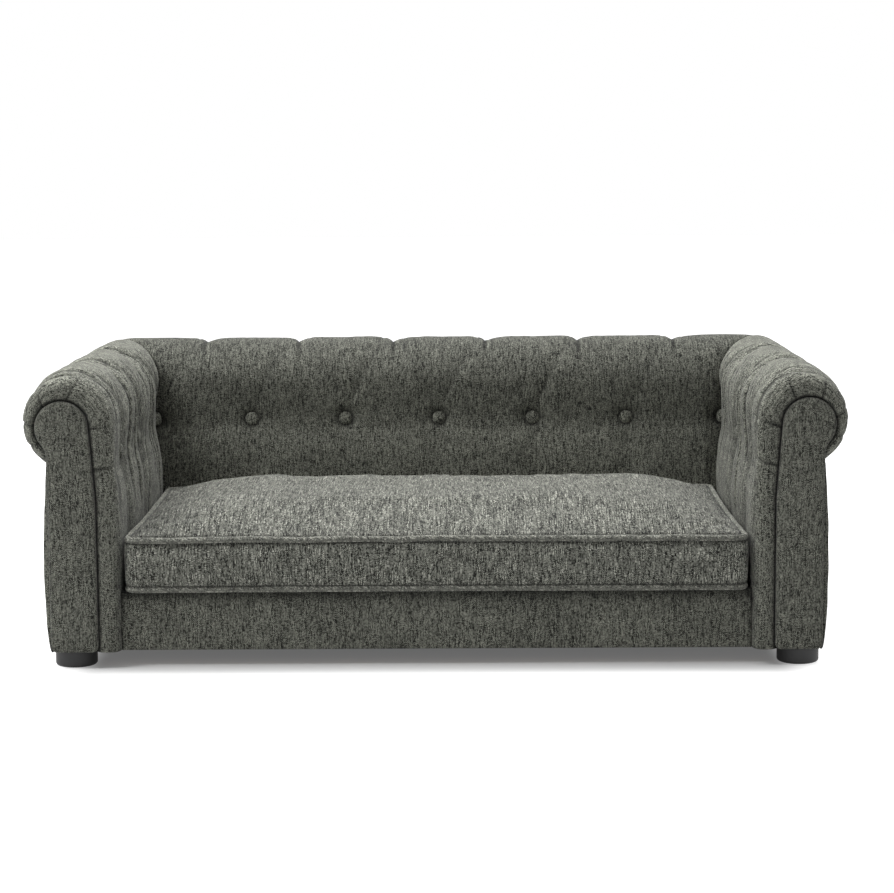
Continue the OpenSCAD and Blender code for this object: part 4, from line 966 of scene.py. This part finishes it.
def welt(name, z, seed):
    """A covered cord along a seam: a round tube along the cushion's outline, a little uneven in
    place and thickness, with places on the cloth along and round it."""
    path = welt_path()
    ahead = np.roll(path, -1, axis=0) - np.roll(path, 1, axis=0)
    ahead /= np.linalg.norm(ahead, axis=1, keepdims=True)
    length = np.concatenate([[0], np.cumsum(np.linalg.norm(np.diff(path, axis=0), axis=1))])[:, None]
    px, py = path[:, :1], path[:, 1:]
    rise = 0.0007 * waves(px + 3, py, seed + 1, 0.10) * (z > POCKET_Z)
    radius = WELT_D / 2 * (0.97 + 0.03 * waves(px, py + 5, seed + 2, 0.05))
    turn = np.linspace(0, 2 * math.pi, 14, endpoint=False)[None, :]
    out = radius * np.cos(turn) + 0.0004 * waves(px, py, seed, 0.12)
    points = at(px + ahead[:, 1:] * out, py - ahead[:, :1] * out + CUSHION_CY,
                z + rise + radius * np.sin(turn))
    along, round_it = length * 0.7, turn * WELT_D / 2
    return loft(name, points, at(along + round_it, along - round_it), 1.0, "hoop")


def dust_cover():
    """The black cloth stapled under the base, with a slight sag between the feet, and its flat size."""
    lo, hi = (np.array(c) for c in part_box("dust_cover"))
    x = np.linspace(lo[0], hi[0], 90)[:, None]
    y = np.linspace(hi[1], lo[1], 50)[None, :]
    span_x, span_y = (np.sin(math.pi * (v - lo[k]) / (hi[k] - lo[k])) for k, v in enumerate((x, y)))
    sag = DUST_SAG * span_x * span_y + 0.0005 * waves(x, y, 81, 0.12) * span_x
    points = at(x, y, hi[2] - 0.0003 - np.clip(sag, 0, 1))
    obj = loft("base_dust_cloth", points, points[..., :2], 1.0, "sheet")
    solid = obj.modifiers.new("cloth thickness", "SOLIDIFY")
    solid.thickness = DUST_T
    solid.offset = -1
    return obj, (float(hi[0] - lo[0]), float(hi[1] - lo[1]))


# Materials

VECTOR, COLOR, NUMBER = "NodeSocketVector", "NodeSocketColor", "NodeSocketFloat"


class Value:
    """A number in a node tree; plus, minus and times add the Math nodes."""

    def __init__(self, wires, socket):
        self.wires = wires
        self.socket = socket

    def __add__(self, other):
        return self.wires.math("ADD", self, other)

    def __sub__(self, other):
        return self.wires.math("SUBTRACT", self, other)

    def __rsub__(self, other):
        return self.wires.math("SUBTRACT", other, self)

    def __mul__(self, other):
        return self.wires.math("MULTIPLY", self, other)

    __radd__ = __add__
    __rmul__ = __mul__


class Wires:
    """Short ways to add and join nodes in one tree."""

    def __init__(self, tree):
        self.tree = tree

    def put(self, socket, item):
        """Leads a value or another node's output to a socket, or sets a plain one."""
        if isinstance(item, Value):
            item = item.socket
        if isinstance(item, bpy.types.NodeSocket):
            self.tree.links.new(item, socket)
        else:
            socket.default_value = item

    def node(self, kind, inputs=(), **settings):
        """A new node, its inputs given by name or number."""
        made = self.tree.nodes.new(kind)
        for key, item in settings.items():
            setattr(made, key, item)
        for key, item in dict(inputs).items():
            self.put(made.inputs[key], item)
        return made

    def value(self, output, kind, inputs, **settings):
        """One output of a new node, ready for sums."""
        return Value(self, self.node(kind, inputs, **settings).outputs[output])

    def math(self, operation, a, b=0.0):
        return self.value(0, "ShaderNodeMath", {0: a, 1: b}, operation=operation)

    def stretch(self, vector, scale, turn=(0, 0, 0)):
        """A pattern's place, scaled and turned."""
        return self.value("Vector", "ShaderNodeMapping",
                          {"Vector": vector, "Scale": scale, "Rotation": turn})

    def noise(self, vector, scale, detail, rough=0.55):
        return self.value("Fac", "ShaderNodeTexNoise",
                          {"Vector": vector, "Scale": scale, "Detail": detail, "Roughness": rough})

    def span(self, value, lo, hi, out_lo=0.0, out_hi=1.0, curve="SMOOTHSTEP"):
        """Carries the range from lo to hi onto another one, and holds its ends outside."""
        ends = {"From Min": lo, "From Max": hi, "To Min": out_lo, "To Max": out_hi}
        return self.value("Result", "ShaderNodeMapRange", {"Value": value, **ends}, interpolation_type=curve)

    def mix(self, share, a, b, blend="MIX"):
        """The colour a with a share of b laid over it."""
        return self.value(2, "ShaderNodeMix", {0: share, 6: a, 7: b}, data_type="RGBA", blend_type=blend)


def shared_group(name, inputs):
    """A shader node group with named inputs that gives a colour, a roughness and a height for the
    bump. Returns the group, its wires and its inputs by name."""
    group = bpy.data.node_groups.new(name, "ShaderNodeTree")
    for label, kind in inputs.items():
        group.interface.new_socket(label, in_out="INPUT", socket_type=kind)
    for label, kind in (("Color", COLOR), ("Roughness", NUMBER), ("Height", NUMBER)):
        group.interface.new_socket(label, in_out="OUTPUT", socket_type=kind)
    w = Wires(group)
    source = w.node("NodeGroupInput")
    return group, w, {label: Value(w, source.outputs[label]) for label in inputs}


def woven_cloth_group():
    """Heathered slub cloth in plain weave. Warp yarns run along V and weft yarns along U; each yarn
    changes tone in lengths of its own, each crossing shows the yarn that lies over, rounded across
    with painted shade towards its edges and a painted highlight along its middle, and single crossings
    are dark or pale. Broad tone drift; painted shade in folds and painted highlight on crests, from
    the Crest input."""
    group, w, take = shared_group("heathered slub weave", {
        "Cloth": VECTOR, "Crest": NUMBER, "Dark Yarn": COLOR, "Body Yarn": COLOR, "Light Yarn": COLOR,
        "Yarns per Metre": NUMBER, "Slubs per Metre": NUMBER, "Heather": NUMBER, "Dark Share": NUMBER,
        "Light Share": NUMBER, "Fold Shade": NUMBER})
    cloth, yarns, slubs = take["Cloth"], take["Yarns per Metre"], take["Slubs per Metre"]

    def chance(a, b):
        """An even random number for each pair of numbers."""
        pair = w.value(0, "ShaderNodeCombineXYZ", {0: a, 1: b})
        return w.value("Value", "ShaderNodeTexWhiteNoise", {"Vector": pair}, noise_dimensions="2D")

    sway = (w.noise(cloth, 30.0, 2.0) - 0.5) * 0.0030
    across = w.value("X", "ShaderNodeSeparateXYZ", {0: cloth}) + sway
    along = w.value("Y", "ShaderNodeSeparateXYZ", {0: cloth}) - sway
    u, v = across * yarns, along * (yarns * 0.93)
    column, row = w.math("FLOOR", u), w.math("FLOOR", v)
    warp_tone = chance(column, w.math("FLOOR", along * slubs + chance(column, 3.5) * 9.0))
    weft_tone = chance(row + 0.37, w.math("FLOOR", across * (slubs * 2.4) + chance(row, 8.5) * 9.0))
    over = w.math("FLOORED_MODULO", column + row, 2.0)
    yarn_tone = warp_tone * (1.0 - over * 0.55) + weft_tone * (over * 0.55)
    tone = yarn_tone * 0.70 + chance(column, row + 0.61) * 0.30
    dark = w.span(tone, take["Dark Share"] + 0.08, take["Dark Share"] - 0.04)
    pale_from = 0.92 - take["Light Share"]
    light = w.span(tone, pale_from, pale_from + 0.16)
    heather = (1.0 + (tone - 0.5) * (take["Heather"] * 2.0)) * (over * 0.26 + 0.87)
    heather = heather * (chance(row, column) * 1.3 + 0.35)
    color = w.mix(1.0, take["Body Yarn"], heather, "MULTIPLY")
    color = w.mix(light, w.mix(dark, color, take["Dark Yarn"]), take["Light Yarn"])
    round_u, round_v = (w.math("ABSOLUTE", w.math("FRACT", place) - 0.5) for place in (u, v))
    edge = round_u * (1.0 - over) + round_v * over
    # painted shade between the yarns and a painted highlight along their middles
    gap = w.span(edge, 0.22, 0.5, 1.12, 0.42)
    drift = w.span(w.noise(cloth, 7.0, 3.0), 0.3, 0.7, 0.96, 1.04)
    shade = w.math("MAXIMUM", 1.0 - (1.0 - take["Crest"]) * take["Fold Shade"], 0.22)
    w.node("NodeGroupOutput", {"Color": w.mix(1.0, color, drift * shade * gap, "MULTIPLY"),
                               "Roughness": w.span(tone, 0.2, 0.8, 0.98, 0.86),
                               "Height": tone * 0.5 - edge})
    return group


def board_grain_group():
    """Planed softwood: growth rings stretched along one direction and bent a little by a broad
    noise, with fine pores in the late wood's colour."""
    group, w, take = shared_group("planed board grain", {
        "Place": VECTOR, "Early Wood": COLOR, "Late Wood": COLOR, "Ring Spacing": NUMBER})
    place = take["Place"]
    bend = w.noise(place, 3.0, 2.0)
    shift = w.value(0, "ShaderNodeCombineXYZ", {1: bend * 0.03, 2: bend * 0.05})
    moved = w.value(0, "ShaderNodeVectorMath", {0: w.stretch(place, (0.12, 1.0, 1.0)), 1: shift},
                    operation="ADD")
    rings = w.value("Fac", "ShaderNodeTexWave", {"Vector": moved, "Scale": take["Ring Spacing"],
                                                 "Distortion": 1.5, "Detail": 2.0},
                    wave_type="RINGS", rings_direction="X", wave_profile="SAW")
    pores = w.noise(w.stretch(place, (30, 900, 900)), 1.0, 2.0)
    color = w.mix(rings, take["Early Wood"], take["Late Wood"])
    color = w.mix(w.span(pores, 0.55, 0.75, 0.0, 0.35), color, take["Late Wood"])
    w.node("NodeGroupOutput", {"Color": color, "Roughness": w.span(pores, 0.3, 0.7, 0.55, 0.72),
                               "Height": rings * 0.3 - pores * 0.5})
    return group


def grit_group():
    """Wear for small hard parts: specks, scuffs and a soft mottle."""
    group, w, take = shared_group("small part wear", {
        "Place": VECTOR, "Base": COLOR, "Worn": COLOR, "Scale": NUMBER, "Smooth": NUMBER, "Rough": NUMBER})
    place = take["Place"]
    fine = w.noise(place, take["Scale"], 3.0, 0.6)
    broad = w.noise(place, 45.0, 3.0, 0.6)
    scuff = w.noise(w.stretch(place, (60, 420, 900), (0, 0, 0.4)), 1.0, 2.0, 0.7)
    worn = w.span(broad, 0.45, 0.7, 0.0, 0.5) + w.span(scuff, 0.62, 0.72, 0.0, 0.6)
    rough = w.span(broad, 0.3, 0.7, take["Smooth"], take["Rough"], "LINEAR")
    w.node("NodeGroupOutput", {"Color": w.mix(worn, take["Base"], take["Worn"]), "Roughness": rough,
                               "Height": fine + scuff * 0.5})
    return group


CLOTH = woven_cloth_group()
GRAIN = board_grain_group()
GRIT = grit_group()


def new_material(name):
    """An empty material, its wires and its Principled shader."""
    material = bpy.data.materials.new(name)
    material.use_nodes = True
    return material, Wires(material.node_tree), material.node_tree.nodes["Principled BSDF"]


def dress(w, shader, group, settings, bump, distance):
    """Places a group, sets its inputs and leads its outputs to the shader."""
    settings = {label: (*item, 1.0) if isinstance(item, tuple) else item
                for label, item in settings.items()}
    made = w.node("ShaderNodeGroup", settings, node_tree=group)
    relief = w.value("Normal", "ShaderNodeBump", {"Strength": bump, "Distance": distance,
                                                  "Height": made.outputs["Height"]})
    w.put(shader.inputs["Base Color"], made.outputs["Color"])
    w.put(shader.inputs["Roughness"], made.outputs["Roughness"])
    w.put(shader.inputs["Normal"], relief)


def cloth_material(name, dark, body, light, dark_share, light_share, fold, yarns, slubs, heather=0.6):
    """The weave on a piece's own map, shaded by its crest values, with a slight sheen."""
    material, w, shader = new_material(name)
    place = w.node("ShaderNodeUVMap", uv_map="cloth").outputs["UV"]
    crest = w.node("ShaderNodeAttribute", attribute_name="crest").outputs["Fac"]
    dress(w, shader, CLOTH, {"Cloth": place, "Crest": crest, "Dark Yarn": dark, "Body Yarn": body,
                             "Light Yarn": light, "Dark Share": dark_share, "Light Share": light_share,
                             "Heather": heather, "Yarns per Metre": yarns, "Slubs per Metre": slubs,
                             "Fold Shade": fold}, 0.5, 0.0006)
    shader.inputs["Sheen Weight"].default_value = 0.1
    shader.inputs["Sheen Roughness"].default_value = 0.5
    shader.inputs["Specular IOR Level"].default_value = 0.25
    return material


def grained_material(name, early, late, spacing, turn=(0, 0, 0)):
    """Board grain, turned along the piece."""
    material, w, shader = new_material(name)
    place = w.stretch(w.node("ShaderNodeTexCoord").outputs["Object"], (1, 1, 1), turn)
    dress(w, shader, GRAIN, {"Place": place, "Early Wood": early, "Late Wood": late,
                             "Ring Spacing": spacing}, 0.3, 0.0006)
    return material


def hard_material(name, base, worn, scale, smooth, rough, metal=0.0, bump=0.12):
    """Grit and wear on foam, the dark deck, plastic or metal."""
    material, w, shader = new_material(name)
    place = w.node("ShaderNodeTexCoord").outputs["Object"]
    dress(w, shader, GRIT, {"Place": place, "Base": base, "Worn": worn, "Scale": scale, "Smooth": smooth,
                            "Rough": rough}, bump, 0.0004)
    shader.inputs["Metallic"].default_value = metal
    return material


SOFA_CLOTH = cloth_material("warm grey slub chenille", (0.014, 0.0145, 0.012), (0.135, 0.138, 0.116),
                            (0.34, 0.342, 0.289), 0.262, 0.105, 0.62, 820, 122, 0.65)
CUSHION_CLOTH = cloth_material("pale grey slub chenille", (0.010, 0.0105, 0.009), (0.147, 0.150, 0.129),
                               (0.52, 0.52, 0.457), 0.280, 0.150, 0.5, 800, 122, 0.85)
WELT_CLOTH = cloth_material("bias-cut slub chenille", (0.055, 0.056, 0.049), (0.160, 0.163, 0.141),
                            (0.46, 0.46, 0.40), 0.2, 0.22, 0.3, 640, 165)
DUST_CLOTH = cloth_material("black non-woven dust cloth", (0.006, 0.006, 0.006), (0.012, 0.012, 0.012),
                            (0.03, 0.03, 0.03), 0.2, 0.1, 0.2, 600, 95)
ALONG_X, ALONG_Y, UPRIGHT = (0, 0, 0), (0, 0, math.pi / 2), (0, math.pi / 2, 0)
PINE_X, PINE_Y, PINE_Z = (
    grained_material(f"planed pine {way}", (0.58, 0.39, 0.2), (0.36, 0.2, 0.085), 60, turn)
    for way, turn in (("along X", ALONG_X), ("along Y", ALONG_Y), ("upright", UPRIGHT)))
PLYWOOD = grained_material("birch plywood", (0.66, 0.5, 0.31), (0.45, 0.3, 0.16), 26)
BOARD = grained_material("hardboard", (0.30, 0.19, 0.11), (0.22, 0.13, 0.07), 15, ALONG_Y)
FOAM = hard_material("yellowed foam", (0.62, 0.56, 0.36), (0.7, 0.6, 0.36), 900, 0.9, 1.0, bump=0.5)
# Painted shade: the deck is made near black so that where it shows at the cushion's corners it reads as
# shade
DARK_DECK_SHADE = hard_material("near-black deck as painted shade", (0.018, 0.018, 0.016), (0.04, 0.04, 0.036),
                          900, 0.9, 1.0, bump=0.4)
FOOT_PLASTIC = hard_material("black moulded foot", (0.007, 0.007, 0.0073), (0.016, 0.016, 0.0165),
                             700, 0.5, 0.6)
STEEL = hard_material("zinc-plated steel", (0.55, 0.56, 0.57), (0.4, 0.4, 0.4), 500, 0.25, 0.45, 1.0)
BRASS = hard_material("brass insert", (0.62, 0.45, 0.2), (0.45, 0.3, 0.12), 500, 0.3, 0.5, 1.0)
ZIP_BLACK = hard_material("black nylon zip", (0.012, 0.012, 0.013), (0.03, 0.03, 0.03),
                          1500, 0.5, 0.7, bump=0.3)
ZIP_METAL = hard_material("burnished zip slider", (0.42, 0.41, 0.39), (0.22, 0.22, 0.21),
                          900, 0.25, 0.45, 1.0)


# Pieces

def paint(material, *names):
    """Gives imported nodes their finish."""
    for name in names:
        data = nodes[name].data
        data.materials.clear()
        data.materials.append(material)


def seat(obj, body, material, slot, *replaced, fill=None):
    """Gives a new piece its material, body and the nodes that it stands for; slot is not used."""
    obj.data.materials.clear()
    obj.data.materials.append(material)
    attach(obj, body)
    if replaced:
        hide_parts(*replaced)


seat(back_pad(), "root", SOFA_CLOTH, "sofa_fabric", "back_pad", fill=0.7)
for side, word in SIDES:
    seat(arm_pad(side), "root", SOFA_CLOTH, "sofa_fabric", f"arm_pad_{word}", fill=0.7)
    seat(arm_facing(side), "root", SOFA_CLOTH, "sofa_fabric", f"arm_facing_{word}", fill=0.8)
    seat(arm_panel(side), "root", SOFA_CLOTH, "sofa_fabric", f"outer_arm_panel_{word}")
seat(back_panel(), "root", SOFA_CLOTH, "sofa_fabric", "outer_back_panel")
seat(rail_panel(), "root", SOFA_CLOTH, "sofa_fabric", "front_rail_panel")
for packed, dome in buttons():
    seat(dome, "root", SOFA_CLOTH, "sofa_fabric", packed)
cover = cushion_cover()
finish_cushion(cover, fill_cushion(cover))
seat(cover, "cushion", CUSHION_CLOTH, "cushion_fabric", "cushion_cover", fill=0.85)
for word, z, seed in (("top", CUSHION_Z1 - WELT_D / 2, 91), ("bottom", CUSHION_Z0 + WELT_D / 2, 95)):
    seat(welt(f"cushion_welt_{word}", z, seed), "cushion", WELT_CLOTH, "cushion_fabric",
         f"cushion_{word}_welt")
dust, dust_size = dust_cover()
seat(dust, "root", DUST_CLOTH, "dust_cloth", "dust_cover")

paint(PINE_X, "back_base_rail", "front_rail", "rear_rail", "back_top_rail")
paint(PINE_Y, "arm_base_rail_left", "arm_base_rail_right", "side_rail_left", "side_rail_right",
      "arm_top_rail_left", "arm_top_rail_right", "deck_slats")
paint(PINE_Z, "arm_posts_left", "arm_posts_right", "back_posts", "corner_posts")
paint(PLYWOOD, "arm_front_board_left", "arm_front_board_right")
paint(DARK_DECK_SHADE, "seat_deck")
paint(BOARD, "arm_inner_board_left", "arm_inner_board_right", "back_inner_board", "facing_board_left",
      "facing_board_right")
paint(FOAM, "arm_roll_core_left", "arm_roll_core_right", "back_roll_core", "cushion_foam")
paint(FOOT_PLASTIC, "foot_front_left", "foot_front_right", "foot_rear_left", "foot_rear_right")
paint(STEEL, "foot_bolts", "deck_screws")
paint(BRASS, "foot_inserts")
paint(ZIP_BLACK, "zip_tapes", "zip_teeth")
paint(ZIP_METAL, "zip_slider", "zip_pull")


# Floor, light and camera

def looked_at(w):
    """1 for rays that carry what the eye sees, straight, mirrored or through glass, and 0 for the
    rest."""
    rays = w.node("ShaderNodeLightPath").outputs
    bent = w.math("MAXIMUM", rays["Is Glossy Ray"], rays["Is Transmission Ray"])
    return w.math("MAXIMUM", rays["Is Camera Ray"], bent)


def floor():
    """A pale floor that carries on up as a backdrop; the camera sees it lightened to white except
    where the sofa shades it."""
    mesh = bpy.data.meshes.new("floor")
    corners = [(x * FLOOR_HALF, y * FLOOR_HALF, 0) for x, y in ((-1, -1), (1, -1), (1, 1), (-1, 1))]
    mesh.from_pydata(corners, [], [(0, 1, 2, 3)])
    material, w, shader = new_material("pale floor")
    shader.inputs["Base Color"].default_value = (0.6, 0.6, 0.6, 1)
    shader.inputs["Roughness"].default_value = 0.9
    shader.inputs["Specular IOR Level"].default_value = 0.1
    place = w.node("ShaderNodeSeparateXYZ", {0: w.node("ShaderNodeTexCoord").outputs["Object"]}).outputs
    across, along = (w.math("MAXIMUM", w.math("ABSOLUTE", place[axis]) - reach, 0.0)
                     for axis, reach in (("X", HALF_W - SHADE_IN), ("Y", BACK_Y)))
    away = w.math("SQRT", across * across + along * along)
    glow = w.node("ShaderNodeEmission", {
        "Color": (1, 1, 1, 1), "Strength": looked_at(w) * w.span(away, 0.0, SHADE_REACH, FLOOR_GLOW, 1.0)})
    both = w.node("ShaderNodeAddShader", {0: shader.outputs["BSDF"], 1: glow.outputs["Emission"]})
    w.put(material.node_tree.nodes["Material Output"].inputs["Surface"], both.outputs["Shader"])
    mesh.materials.append(material)
    placed("floor", mesh)


def area_lamp(name, place, target, size, power):
    """A soft rectangular lamp at a place, turned to its target."""
    lamp = bpy.data.lights.new(name, "AREA")
    lamp.shape = "RECTANGLE"
    lamp.size, lamp.size_y = size
    lamp.energy = power
    obj = placed(name, lamp)
    obj.location = place
    obj.rotation_euler = (Vector(target) - Vector(place)).to_track_quat("-Z", "Y").to_euler()


floor()
scene = bpy.context.scene
world = bpy.data.worlds.new("studio")
scene.world = world
world.use_nodes = True
sky = world.node_tree.nodes["Background"]
sky.inputs["Color"].default_value = (1, 1, 1, 1)
wires = Wires(world.node_tree)
wires.put(sky.inputs["Strength"], looked_at(wires) * (1 - SKY_LEVEL) + SKY_LEVEL)
area_lamp("key, upper left", (-1.6, -0.6, 2.2), (0, 0, 0.2), (1.1, 1.1), 46)
area_lamp("top", (0.2, 0.4, 2.6), (0, 0.1, 0.2), (2.0, 1.4), 74)

camera = bpy.data.cameras.new("camera")
camera.sensor_fit = "HORIZONTAL"
camera.sensor_width = 36
camera.lens = LENS
eye = placed("camera", camera)
eye.matrix_world = (Matrix.Translation(EYE) @ Matrix.Rotation(-TURN, 4, "Z")
                    @ Matrix.Rotation(math.pi / 2 - TILT, 4, "X") @ Matrix.Rotation(ROLL, 4, "Z"))
scene.camera = eye
scene.view_settings.view_transform = "Standard"
